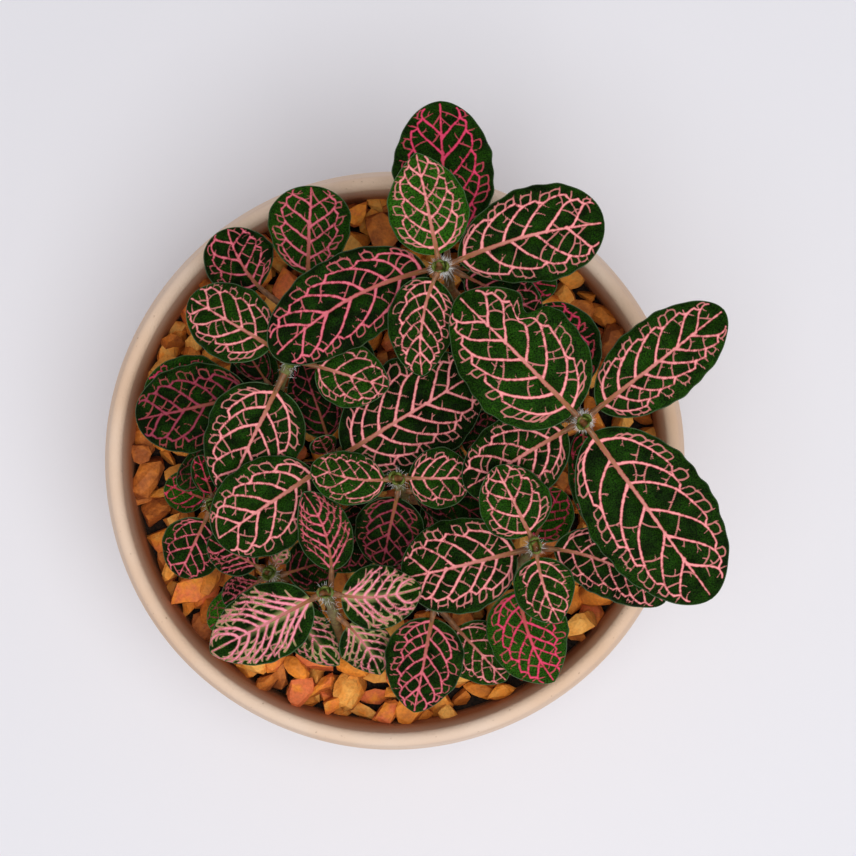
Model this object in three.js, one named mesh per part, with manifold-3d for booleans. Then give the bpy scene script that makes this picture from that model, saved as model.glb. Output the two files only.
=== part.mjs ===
// A nerve plant (Fittonia) in a round stoneware bowl, dressed with gravel.
// Millimetres, +Z up. The origin is the middle of the flat foot that the bowl stands on.
import * as THREE from 'three';
import { mergeVertices } from 'three/addons/utils/BufferGeometryUtils.js';
import Module from 'manifold-3d';

const wasm = await Module();
wasm.setup();

// ---- driving dimensions -------------------------------------------------------------------------
const GAP = 0.3; // clearance between pieces that touch
const STALK_GAP = 0.45; // from a stem's surface to a leaf stalk, which the stem may lean over

const BOWL = {
  height: 62,
  lipRadius: 63.3, // to the middle of the rounded lip
  lipRound: 1.6,
  bellyRadius: 67,
  bellyHeight: 48,
  footRadius: 41,
  footHeight: 3,
  wall: 6.5,
  floor: 7,
};
const AROUND = 40; // sides of the bowl and of what fills it

const GRAVEL = { top: 50, bottom: 45 };
const SOIL_TOP = GRAVEL.bottom - GAP;
const ROOTED = 12; // how deep a stem stands in the soil

const STEM = { radius: 1.2, sides: 6, steps: 7, budRadius: 1.5, budLength: 5 };

const LEAF = {
  thickness: 0.7,
  petioleWidth: 1.4,
  petioleThickness: 1.2,
  tipWidth: 0.6,
  across: 4,
  rows: 6, // rows of the blade, closer together at its ends
};

// Where a blade is widest, as a share of its length, and how its outline closes toward the base and
// toward the tip, from 0.5 for a round end to 1 for a straight-sided point.
const OVAL = { widest: 0.48, base: 0.55, tip: 0.55 };
const ROUND = { widest: 0.5, base: 0.5, tip: 0.5 };
const HEART = { widest: 0.4, base: 0.45, tip: 0.62 };
const SPOON = { widest: 0.6, base: 0.62, tip: 0.5 };
const LANCE = { widest: 0.42, base: 0.5, tip: 0.85 };
const OVATE = { widest: 0.42, base: 0.5, tip: 0.72 };

// ---- the shoots ---------------------------------------------------------------------------------
// A shoot is rooted at root [x, y] and climbs through its nodes. Each leaf runs from its node to its
// tip. arch lifts the middle of the leaf, and bow swings it to the left as seen from the node. cup
// lifts both margins, and roll, in degrees, lifts the left one and lowers the right one. petiole is the
// length of the stalk before the blade.
const SHOOTS = {
  back: {
    root: [14, 34],
    nodes: [
      {
        at: [12, 42, 80],
        leaves: [
          { tip: [36, 38.5, 79], width: 12, petiole: 2, arch: 1, form: OVAL },
        ],
      },
      {
        at: [12, 42.5, 85],
        leaves: [
          { tip: [10.3, 79, 80], width: 22, petiole: 3, arch: 2.5, form: OVAL },
        ],
      },
      {
        at: [11.5, 42, 91],
        leaves: [
          { tip: [32, 32, 90], width: 12, petiole: 3, arch: 1, form: OVAL },
        ],
      },
      {
        at: [11, 41.5, 98],
        leaves: [
          { tip: [45.2, 51, 96], width: 20.5, petiole: 1.8, arch: 2.5, bow: 1.3, form: SPOON },
          { tip: [-25, 22.5, 95], width: 19.5, petiole: 2, arch: 2.5, bow: -3, form: ROUND },
        ],
      },
      {
        at: [10.2, 41.2, 103.5],
        leaves: [
          { tip: [5.2, 64.7, 107], width: 17, petiole: 1, arch: 2, form: LANCE },
          { tip: [6.5, 18.3, 100], width: 14.5, petiole: 1.2, arch: 2, bow: -1.6, form: OVATE },
        ],
      },
    ],
  },
  right: {
    root: [34, 8],
    nodes: [
      {
        at: [38.5, 10, 80],
        leaves: [
          { tip: [42, 31.5, 76], width: 10, petiole: 6, arch: 0, form: OVAL },
        ],
      },
      {
        at: [40, 10, 90],
        leaves: [
          { tip: [33, 34.4, 88], width: 18.5, petiole: 4, arch: 1.5, form: ROUND },
        ],
      },
      {
        at: [40.2, 9.2, 102],
        leaves: [
          { tip: [15.6, -5.4, 96], width: 18, petiole: 2.6, arch: 2, form: OVAL },
          { tip: [70.3, 32.5, 98], width: 18, petiole: 2.4, arch: 2, form: OVAL },
        ],
      },
      {
        at: [39.9, 8.7, 108],
        leaves: [
          { tip: [13.9, 35, 106], width: 25.5, petiole: 1.2, arch: 3, form: HEART },
          { tip: [67.3, -28.3, 102], width: 26, petiole: 1.2, arch: 3, form: OVAL },
        ],
      },
    ],
  },
  right_front: {
    root: [24, -28],
    nodes: [
      {
        at: [27.5, -22.5, 80],
        leaves: [
          { tip: [35.8, -48.8, 72], width: 18, petiole: 4, arch: 2, bow: -2.2, form: OVATE },
          { tip: [37, -6, 77], width: 12, petiole: 5, arch: 1, form: OVAL },
        ],
      },
      {
        at: [30, -18, 94],
        leaves: [
          { tip: [2.1, -25, 88], width: 20.5, petiole: 2, arch: 2, form: ROUND },
          { tip: [59, -30.5, 84], width: 14.5, petiole: 3, arch: 2, bow: 3, form: OVAL },
        ],
      },
      {
        at: [30.2, -17.1, 102],
        leaves: [
          { tip: [21.8, -0.4, 104], width: 15.2, petiole: 1, arch: 1.5, form: HEART },
          { tip: [35.6, -33.6, 98], width: 13, petiole: 1, arch: 1.5, bow: -0.8, form: OVATE },
        ],
      },
    ],
  },
  middle: {
    root: [5, -9],
    nodes: [
      {
        at: [2.5, -7, 75],
        leaves: [
          { tip: [17, -15.5, 76], width: 11, petiole: 3, arch: 1, form: OVAL },
        ],
      },
      {
        at: [1.5, -5, 84],
        leaves: [
          { tip: [-2.4, -22.8, 78], width: 15.5, petiole: 1, arch: 1.5, form: OVAL },
        ],
      },
      {
        at: [1.1, -3.2, 93],
        leaves: [
          { tip: [-17.1, -0.2, 92], width: 11.5, petiole: 0.8, arch: 1.5, bow: 1.4, form: OVAL },
          { tip: [17, -3.2, 92], width: 13.3, petiole: 0.8, arch: 1.5, form: OVAL },
        ],
      },
    ],
  },
  left: {
    root: [-11, 3],
    nodes: [
      {
        at: [-13, 1, 73],
        leaves: [
          { tip: [-20, 22, 74], width: 12, petiole: 3, arch: 1, form: OVAL },
        ],
      },
      {
        at: [-13.8, -0.2, 85.3],
        leaves: [
          { tip: [-38.3, -16.8, 83], width: 20.5, petiole: 2, arch: 2, form: ROUND },
          { tip: [18.5, 19.7, 84], width: 24, petiole: 2.4, arch: 2, form: ROUND },
        ],
      },
    ],
  },
  left_back: {
    root: [-28, 9],
    nodes: [
      {
        at: [-28, 11.5, 67],
        leaves: [
          { tip: [-48.3, -5.8, 65], width: 8.5, petiole: 8, arch: 1, form: ROUND },
        ],
      },
      {
        at: [-26.8, 13.5, 71],
        leaves: [
          { tip: [-56.1, 15.6, 66], width: 18, petiole: 7, arch: 1, form: OVAL },
        ],
      },
      {
        at: [-25.2, 16, 77],
        leaves: [
          { tip: [-57.3, 9.2, 70], width: 19.5, petiole: 5, arch: 1.5, form: ROUND },
        ],
      },
      {
        at: [-22.8, 20.2, 86.5],
        leaves: [
          { tip: [-36.7, -7.4, 79], width: 21.5, petiole: 3, arch: 1.5, form: HEART },
        ],
      },
      {
        at: [-21.6, 22.3, 90],
        leaves: [
          { tip: [-44, 35.8, 84], width: 16.5, petiole: 3.5, arch: 2, form: OVAL },
          { tip: [-0.6, 16.2, 91], width: 14, petiole: 4, arch: 1.5, form: OVATE },
        ],
      },
    ],
  },
  back_left: {
    root: [-20, 27],
    nodes: [
      {
        at: [-21.5, 33, 75],
        leaves: [
          { tip: [-36.6, 51.7, 74], width: 15.8, petiole: 8, arch: 1.5, bow: 2.5, form: ROUND },
        ],
      },
      {
        at: [-18.8, 34.5, 79],
        leaves: [
          { tip: [-18, 60.9, 76], width: 18.3, petiole: 5, arch: 1.5, form: SPOON },
        ],
      },
    ],
  },
  front_left: {
    root: [-12, -43],
    nodes: [
      {
        at: [-13.1, -33, 78],
        leaves: [
          { tip: [-2.9, -47.5, 70], width: 11.6, petiole: 3, arch: 1, bow: 1.2, form: LANCE },
        ],
      },
      {
        at: [-13.7, -29.7, 86.5],
        leaves: [
          { tip: [-19.1, -6.2, 90], width: 11.8, petiole: 5, arch: 1, bow: -2.4, form: OVATE },
        ],
      },
      {
        at: [-14.2, -27.4, 94],
        leaves: [
          { tip: [-39.6, -41.2, 84], width: 16.6, petiole: 2, arch: 2, form: OVATE },
          { tip: [6.4, -26.5, 91], width: 14, petiole: 2, arch: 2, bow: -1.3, form: OVATE },
        ],
      },
    ],
  },
  low_left: {
    root: [-25, -27],
    nodes: [
      {
        at: [-26, -26, 66.5],
        leaves: [
          { tip: [-41.6, -37.5, 63], width: 10, petiole: 4, arch: 1, form: OVAL },
        ],
      },
      {
        at: [-26.5, -25.4, 70],
        leaves: [
          { tip: [-12, -45.4, 69], width: 10.2, petiole: 6, arch: 1.5, bow: -1, form: LANCE },
        ],
      },
      {
        at: [-27, -24.6, 73.5],
        leaves: [
          { tip: [-37.6, -31.5, 71.5], width: 8.3, petiole: 1.5, arch: 1, form: OVAL },
        ],
      },
      {
        at: [-27.2, -24.3, 77],
        leaves: [
          { tip: [-40.7, -16.9, 75], width: 10, petiole: 1.5, arch: 1, form: OVAL },
        ],
      },
    ],
  },
  rim_left: {
    root: [-37, -10],
    nodes: [
      {
        at: [-39, -9.8, 63],
        leaves: [
          { tip: [-51.8, -5.2, 61], width: 9.5, petiole: 2, arch: 0.5, form: ROUND },
        ],
      },
      {
        at: [-40, -9.8, 73],
        leaves: [
          { tip: [-48.1, -25.8, 66], width: 14, petiole: 2, arch: 1, form: OVAL },
        ],
      },
    ],
  },
  front: {
    root: [8, -29],
    nodes: [
      {
        at: [9.2, -31.5, 72],
        leaves: [
          { tip: [25.3, -49.3, 65], width: 14, petiole: 6, arch: 1, form: OVATE },
        ],
      },
      {
        at: [9.2, -31, 80],
        leaves: [
          { tip: [4.6, -55.5, 73], width: 17.4, petiole: 1.5, arch: 1.5, form: OVATE },
        ],
      },
    ],
  },
};

// ---- materials ----------------------------------------------------------------------------------
const finish = (color, roughness) => new THREE.MeshStandardMaterial({ color, roughness, metalness: 0 });
const STONEWARE = finish('#d9c0a4', 0.75);
const SOIL = finish('#1b120c', 0.95);
const PEBBLES = finish('#cf8e4d', 0.8);
const BARK = finish('#8a5f42', 0.7);
const LEAF_GREEN = finish('#1f3d16', 0.45);

// ---- solids and meshes --------------------------------------------------------------------------
function closed(geometry) {
  geometry.deleteAttribute('normal');
  geometry.deleteAttribute('uv');
  return mergeVertices(geometry, 1e-4);
}

function toSolid(geometry) {
  const merged = closed(geometry);
  return new wasm.Manifold(new wasm.Mesh({
    numProp: 3,
    vertProperties: merged.attributes.position.array,
    triVerts: new Uint32Array(merged.index.array),
  }));
}

function toGeometry(solid) {
  const mesh = solid.getMesh();
  const geometry = new THREE.BufferGeometry();
  geometry.setAttribute('position', new THREE.BufferAttribute(mesh.vertProperties, 3));
  geometry.setIndex(new THREE.BufferAttribute(mesh.triVerts, 1));
  return geometry;
}

function named(name, geometry, material) {
  const mesh = new THREE.Mesh(geometry, material.clone());
  mesh.name = name;
  return mesh;
}

// Turns a profile of [radius, height] points about the bowl's axis.
function turned(profile) {
  const lathe = new THREE.LatheGeometry(profile.map(([r, z]) => new THREE.Vector2(r, z)), AROUND);
  return lathe.rotateX(Math.PI / 2);
}

// ---- the bowl and what fills it -----------------------------------------------------------------
// A quarter of an ellipse from a radius at the belly's height down to a flat bottom.
function bowlCurve(bottomRadius, bottomHeight, steps) {
  return (wide) => Array.from({ length: steps + 1 }, (_, i) => {
    const turn = (Math.PI / 2) * (1 - i / steps);
    const radius = bottomRadius + (wide - bottomRadius) * Math.cos(turn);
    return [radius, BOWL.bellyHeight - (BOWL.bellyHeight - bottomHeight) * Math.sin(turn)];
  });
}

const innerRadius = BOWL.bellyRadius - BOWL.wall;
const innerFloorRadius = BOWL.footRadius - 3;

function bowl() {
  const outside = bowlCurve(BOWL.footRadius, BOWL.footHeight, 8)(BOWL.bellyRadius);
  const inside = bowlCurve(innerFloorRadius, BOWL.floor, 6)(innerRadius).reverse();
  const lipHeight = BOWL.height - BOWL.lipRound;
  const lip = [0, 0.25, 0.5, 0.75, 1].map((share) => [
    BOWL.lipRadius + BOWL.lipRound * Math.cos(Math.PI * share),
    lipHeight + BOWL.lipRound * Math.sin(Math.PI * share),
  ]).reverse();
  return named('bowl', closed(turned([
    [0, 0],
    [BOWL.footRadius, 0],
    ...outside,
    ...lip,
    ...inside,
    [0, BOWL.floor],
  ])), STONEWARE);
}

// ---- stems --------------------------------------------------------------------------------------
const vector = ([x, y, z]) => new THREE.Vector3(x, y, z);

function stemPath({ root, nodes }) {
  const foot = [...root, SOIL_TOP - ROOTED];
  const ground = [...root, GRAVEL.top];
  return new THREE.CatmullRomCurve3([foot, ground, ...nodes.map((node) => node.at)].map(vector));
}

function tube(path, radius) {
  const section = new THREE.Shape().absarc(0, 0, radius, 0, 2 * Math.PI);
  return new THREE.ExtrudeGeometry(section, {
    extrudePath: path,
    steps: STEM.steps,
    curveSegments: STEM.sides / 2,
  });
}

// The stem ends in a bud, which stands just above the top pair of leaves.
function stem(shoot) {
  const top = vector(shoot.nodes.at(-1).at);
  const bud = new THREE.SphereGeometry(STEM.budRadius, STEM.sides, 4);
  bud.rotateX(Math.PI / 2);
  bud.scale(1, 1, STEM.budLength / (2 * STEM.budRadius));
  bud.translate(top.x, top.y, top.z + STEM.budLength * 0.35);
  return toSolid(tube(stemPath(shoot), STEM.radius)).add(toSolid(bud));
}

// The ground is what is left of a turned block once the stems stand in it.
function ground(profile) {
  return Object.values(SHOOTS).reduce(
    (block, shoot) => block.subtract(toSolid(tube(stemPath(shoot), STEM.radius + GAP))),
    toSolid(turned(profile)),
  );
}

function soil() {
  const wall = bowlCurve(innerFloorRadius - GAP, BOWL.floor + GAP, 6)(innerRadius - GAP);
  const below = wall.filter(([, height]) => height < SOIL_TOP);
  return named('soil', toGeometry(ground([
    [0, BOWL.floor + GAP],
    ...below,
    [wall.at(-1)[0], SOIL_TOP],
    [0, SOIL_TOP],
  ])), SOIL);
}

function gravelBed() {
  const edge = innerRadius - 2 * GAP;
  return named('gravel_bed', toGeometry(ground([
    [0, GRAVEL.bottom],
    [edge, GRAVEL.bottom],
    [edge, GRAVEL.top - 1],
    [edge - 1, GRAVEL.top],
    [0, GRAVEL.top],
  ])), PEBBLES);
}

// ---- leaves -------------------------------------------------------------------------------------
const UP = new THREE.Vector3(0, 0, 1);

// The middle line of a leaf, from the stem's surface to the leaf's tip.
function leafLine(node, { tip, arch = 0, bow = 0 }) {
  const from = vector(node);
  const to = vector(tip);
  const across = UP.clone().cross(to.clone().sub(from)).normalize();
  const bowed = across.clone().multiplyScalar(4 * bow);
  const away = to.clone().sub(from).add(bowed).setZ(0).normalize();
  from.addScaledVector(away, STEM.radius + STALK_GAP);
  const middle = from.clone().lerp(to, 0.5).add(bowed.multiplyScalar(0.5)).addScaledVector(UP, 2 * arch);
  return new THREE.QuadraticBezierCurve3(from, middle, to);
}

function halfWidth(share, { width, form }) {
  const toBase = share < form.widest;
  const away = toBase ? 1 - share / form.widest : (share - form.widest) / (1 - form.widest);
  return (width / 2) * (1 - away ** 2) ** (toBase ? form.base : form.tip);
}

// A box is drawn out along the leaf's middle line: its length follows the line, its width takes the
// outline of the stalk and the blade, and its height is the thickness.
function leafGeometry(node, leaf) {
  const line = leafLine(node, leaf);
  const stalk = leaf.petiole / line.getLength();
  const segments = LEAF.rows + 1;
  const box = closed(new THREE.BoxGeometry(1, segments, 1, LEAF.across, segments, 1));
  const place = box.attributes.position;
  const roll = THREE.MathUtils.degToRad(leaf.roll ?? 0);
  for (let i = 0; i < place.count; i += 1) {
    const row = Math.round(place.getY(i) + segments / 2);
    const share = row < 1 ? 0 : (1 - Math.cos((Math.PI * (row - 1)) / LEAF.rows)) / 2;
    const along = row < 1 ? 0 : stalk + (1 - stalk) * share;
    const least = share > 0.5 ? LEAF.tipWidth / 2 : LEAF.petioleWidth / 2;
    const half = Math.max(halfWidth(share, leaf), least);
    const thick = share > 0 ? LEAF.thickness : LEAF.petioleThickness;
    const forward = line.getTangent(along);
    const left = UP.clone().cross(forward).normalize().applyAxisAngle(forward, roll);
    const above = forward.clone().cross(left);
    const offset = -2 * place.getX(i) * half;
    const lift = (leaf.cup ?? 0) * (2 * offset / leaf.width) ** 2;
    const spot = line.getPoint(along);
    spot.addScaledVector(left, offset);
    spot.addScaledVector(above, lift + place.getZ(i) * thick);
    place.setXYZ(i, spot.x, spot.y, spot.z);
  }
  return box;
}

// ---- the whole plant ----------------------------------------------------------------------------
const plant = new THREE.Group();
plant.add(bowl(), soil(), gravelBed());
for (const [name, shoot] of Object.entries(SHOOTS)) {
  plant.add(named(`${name}_stem`, toGeometry(stem(shoot)), BARK));
  let count = 0;
  for (const node of shoot.nodes) {
    for (const leaf of node.leaves) {
      count += 1;
      plant.add(named(`${name}_leaf_${count}`, leafGeometry(node.at, leaf), LEAF_GREEN));
    }
  }
}

export default plant;
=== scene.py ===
"""A nerve plant (Fittonia) in a round stoneware bowl dressed with gravel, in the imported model's frame."""

import math

import bmesh
import bpy
import numpy as np
from bpy.props import FloatProperty, FloatVectorProperty, IntProperty, PointerProperty
from bpy.types import Operator, Panel, PropertyGroup
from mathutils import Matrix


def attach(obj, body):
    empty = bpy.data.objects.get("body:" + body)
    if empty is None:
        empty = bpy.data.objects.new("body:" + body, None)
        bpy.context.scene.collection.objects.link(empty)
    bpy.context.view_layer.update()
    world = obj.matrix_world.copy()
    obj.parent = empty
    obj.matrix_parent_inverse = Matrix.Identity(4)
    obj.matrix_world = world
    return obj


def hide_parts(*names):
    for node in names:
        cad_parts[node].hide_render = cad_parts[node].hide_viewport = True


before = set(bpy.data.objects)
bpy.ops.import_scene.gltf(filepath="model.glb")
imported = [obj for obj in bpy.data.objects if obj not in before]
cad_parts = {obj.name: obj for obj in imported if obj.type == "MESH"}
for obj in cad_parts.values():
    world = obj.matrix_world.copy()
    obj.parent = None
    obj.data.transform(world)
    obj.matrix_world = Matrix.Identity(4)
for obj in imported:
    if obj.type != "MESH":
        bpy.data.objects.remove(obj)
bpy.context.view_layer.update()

bl_info = {
    "name": "Potted nerve plant",
    "version": (1, 0, 0),
    "blender": (4, 5, 0),
    "location": "View3D > Sidebar > Nerve Plant",
    "description": "Grows a pink-veined nerve plant in a gravel-dressed bowl on the packed frame",
    "category": "Object",
}

MM = 0.001  # shapes are worked out in millimetres. The settings, the camera and the lamps are in metres
UP = np.array([0.0, 0.0, 1.0])


def linear(hex_colour):
    """An sRGB hex value as a linear colour with alpha."""
    parts = [int(hex_colour[i : i + 2], 16) / 255 for i in (1, 3, 5)]
    return (*(c / 12.92 if c <= 0.04045 else ((c + 0.055) / 1.055) ** 2.4 for c in parts), 1.0)


def colour(name, hex_colour, description):
    return FloatVectorProperty(
        name=name,
        description=description,
        subtype="COLOR",
        size=4,
        min=0.0,
        max=1.0,
        default=linear(hex_colour),
    )


def length(name, default, description):
    """A length property whose default is given in millimetres."""
    return FloatProperty(
        name=name, description=description, default=default * MM, min=0.0, unit="LENGTH", precision=5
    )


# ---- the shoots ---------------------------------------------------------------------------------
# The same layout as the imported solids were made from, in millimetres. A shoot is the place of its
# root and then its nodes from below, each with the leaves that grow there. A leaf runs from its node
# to its tip. arch lifts the middle of the leaf, bow swings it to the left as seen from the node, and
# petiole is the stalk before the blade.
# The looks are added here: veins names the vein colour, fresh is 0 for an old dark blade and 1 for a
# young bright one, and feather marks a leaf whose veins end free like a feather's. The darkest vein
# colour is painted shade, for leaves deep under the canopy.
OVAL = {"widest": 0.48, "base": 0.55, "tip": 0.55}
ROUND = {"widest": 0.5, "base": 0.5, "tip": 0.5}
HEART = {"widest": 0.4, "base": 0.45, "tip": 0.62}
SPOON = {"widest": 0.6, "base": 0.62, "tip": 0.5}
LANCE = {"widest": 0.42, "base": 0.5, "tip": 0.85}
OVATE = {"widest": 0.42, "base": 0.5, "tip": 0.72}


def leaf(tip, width, petiole, arch, form, veins, fresh, bow=0.0, feather=False, bite=None):
    """One leaf's measures. bite is a notch in the margin: its side, how far along and how deep."""
    return {
        "tip": tip,
        "width": width,
        "petiole": petiole,
        "arch": arch,
        "bow": bow,
        "form": form,
        "veins": veins,
        "fresh": fresh,
        "feather": feather,
        "bite": bite,
    }


SHOOTS = {
    "back": (
        (14, 34),
        ((12, 42, 80), leaf((36, 38.5, 79), 12, 2, 1, OVAL, "crimson", 0.5)),
        ((12, 42.5, 85), leaf((10.3, 79, 80), 22, 3, 2.5, OVAL, "crimson", 0.35)),
        ((11.5, 42, 91), leaf((32, 32, 90), 12, 3, 1, OVAL, "rose", 0.2)),
        (
            (11, 41.5, 98),
            leaf((45.2, 51, 96), 20.5, 1.8, 2.5, SPOON, "salmon", 0.3, bow=1.3),
            leaf((-25, 22.5, 95), 19.5, 2, 2.5, ROUND, "rose", 0.15, bow=-3),
        ),
        (
            (10.2, 41.2, 103.5),
            leaf((5.2, 64.7, 107), 17, 1, 2, LANCE, "salmon", 0.8),
            leaf((6.5, 18.3, 100), 14.5, 1.2, 2, OVATE, "salmon", 0.35, bow=-1.6),
        ),
    ),
    "right": (
        (34, 8),
        ((38.5, 10, 80), leaf((42, 31.5, 76), 10, 6, 0, OVAL, "crimson", 0.3)),
        ((40, 10, 90), leaf((33, 34.4, 88), 18.5, 4, 1.5, ROUND, "crimson", 0.3)),
        (
            (40.2, 9.2, 102),
            leaf((15.6, -5.4, 96), 18, 2.6, 2, OVAL, "salmon", 0.25),
            leaf((70.3, 32.5, 98), 18, 2.4, 2, OVAL, "salmon", 0.4),
        ),
        (
            (39.9, 8.7, 108),
            leaf((13.9, 35, 106), 25.5, 1.2, 3, HEART, "salmon", 0.45, bite=(-1, 0.63, 0.34)),
            leaf((67.3, -28.3, 102), 26, 1.2, 3, OVAL, "salmon", 0.3),
        ),
    ),
    "right_front": (
        (24, -28),
        (
            (27.5, -22.5, 80),
            leaf((35.8, -48.8, 72), 18, 4, 2, OVATE, "crimson", 0.75, bow=-2.2),
            leaf((37, -6, 77), 12, 5, 1, OVAL, "crimson", 0.8),
        ),
        (
            (30, -18, 94),
            leaf((2.1, -25, 88), 20.5, 2, 2, ROUND, "salmon", 0.3),
            leaf((59, -30.5, 84), 14.5, 3, 2, OVAL, "salmon", 0.2, bow=3),
        ),
        (
            (30.2, -17.1, 102),
            leaf((21.8, -0.4, 104), 15.2, 1, 1.5, HEART, "salmon", 0.5),
            leaf((35.6, -33.6, 98), 13, 1, 1.5, OVATE, "salmon", 0.5, bow=-0.8),
        ),
    ),
    "middle": (
        (5, -9),
        ((2.5, -7, 75), leaf((17, -15.5, 76), 11, 3, 1, OVAL, "rose", 0.4, feather=True)),
        ((1.5, -5, 84), leaf((-2.4, -22.8, 78), 15.5, 1, 1.5, OVAL, "dusky", 0.1)),
        (
            (1.1, -3.2, 93),
            leaf((-17.1, -0.2, 92), 11.5, 0.8, 1.5, OVAL, "salmon", 0.5, bow=1.4),
            leaf((17, -3.2, 92), 13.3, 0.8, 1.5, OVAL, "salmon", 0.4),
        ),
    ),
    "left": (
        (-11, 3),
        ((-13, 1, 73), leaf((-20, 22, 74), 12, 3, 1, OVAL, "dusky", 0.0)),
        (
            (-13.8, -0.2, 85.3),
            leaf((-38.3, -16.8, 83), 20.5, 2, 2, ROUND, "salmon", 0.35),
            leaf((18.5, 19.7, 84), 24, 2.4, 2, ROUND, "salmon", 0.15),
        ),
    ),
    "left_back": (
        (-28, 9),
        ((-28, 11.5, 67), leaf((-48.3, -5.8, 65), 8.5, 8, 1, ROUND, "dusky", 0.3)),
        ((-26.8, 13.5, 71), leaf((-56.1, 15.6, 66), 18, 7, 1, OVAL, "crimson", 0.6)),
        ((-25.2, 16, 77), leaf((-57.3, 9.2, 70), 19.5, 5, 1.5, ROUND, "dusky", 0.15)),
        ((-22.8, 20.2, 86.5), leaf((-36.7, -7.4, 79), 21.5, 3, 1.5, HEART, "salmon", 0.3)),
        (
            (-21.6, 22.3, 90),
            leaf((-44, 35.8, 84), 16.5, 3.5, 2, OVAL, "salmon", 0.4),
            leaf((-0.6, 16.2, 91), 14, 4, 1.5, OVATE, "salmon", 0.5),
        ),
    ),
    "back_left": (
        (-20, 27),
        ((-21.5, 33, 75), leaf((-36.6, 51.7, 74), 15.8, 8, 1.5, ROUND, "rose", 0.2, bow=2.5)),
        ((-18.8, 34.5, 79), leaf((-18, 60.9, 76), 18.3, 5, 1.5, SPOON, "rose", 0.5)),
    ),
    "front_left": (
        (-12, -43),
        (
            (-13.1, -33, 78),
            leaf((-2.9, -47.5, 70), 11.6, 3, 1, LANCE, "mauve", 0.3, bow=1.2, feather=True),
        ),
        (
            (-13.7, -29.7, 86.5),
            leaf((-19.1, -6.2, 90), 11.8, 5, 1, OVATE, "rose", 0.35, bow=-2.4, feather=True),
        ),
        (
            (-14.2, -27.4, 94),
            leaf((-39.6, -41.2, 84), 16.6, 2, 2, OVATE, "mauve", 0.3, feather=True),
            leaf((6.4, -26.5, 91), 14, 2, 2, OVATE, "mauve", 0.3, bow=-1.3, feather=True),
        ),
    ),
    "low_left": (
        (-25, -27),
        ((-26, -26, 66.5), leaf((-41.6, -37.5, 63), 10, 4, 1, OVAL, "dusky", 1.0)),
        (
            (-26.5, -25.4, 70),
            leaf((-12, -45.4, 69), 10.2, 6, 1.5, LANCE, "mauve", 0.4, bow=-1, feather=True),
        ),
        ((-27, -24.6, 73.5), leaf((-37.6, -31.5, 71.5), 8.3, 1.5, 1, OVAL, "rose", 0.2, feather=True)),
        ((-27.2, -24.3, 77), leaf((-40.7, -16.9, 75), 10, 1.5, 1, OVAL, "rose", 0.2, feather=True)),
    ),
    "rim_left": (
        (-37, -10),
        ((-39, -9.8, 63), leaf((-51.8, -5.2, 61), 9.5, 2, 0.5, ROUND, "crimson", 0.7)),
        ((-40, -9.8, 73), leaf((-48.1, -25.8, 66), 14, 2, 1, OVAL, "rose", 0.3)),
    ),
    "front": (
        (8, -29),
        ((9.2, -31.5, 72), leaf((25.3, -49.3, 65), 14, 6, 1, OVATE, "salmon", 0.5)),
        ((9.2, -31, 80), leaf((4.6, -55.5, 73), 17.4, 1.5, 1.5, OVATE, "rose", 0.3)),
    ),
}

STEM_RADIUS = 1.2
STALK_GAP = 0.45  # how far off a stem's surface a leaf's line starts
STALK_WIDTH = 1.4
SOIL_TOP = 44.7

# The shoots whose nodes are thick with white hairs
WOOLLY = ("right", "back")

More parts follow.
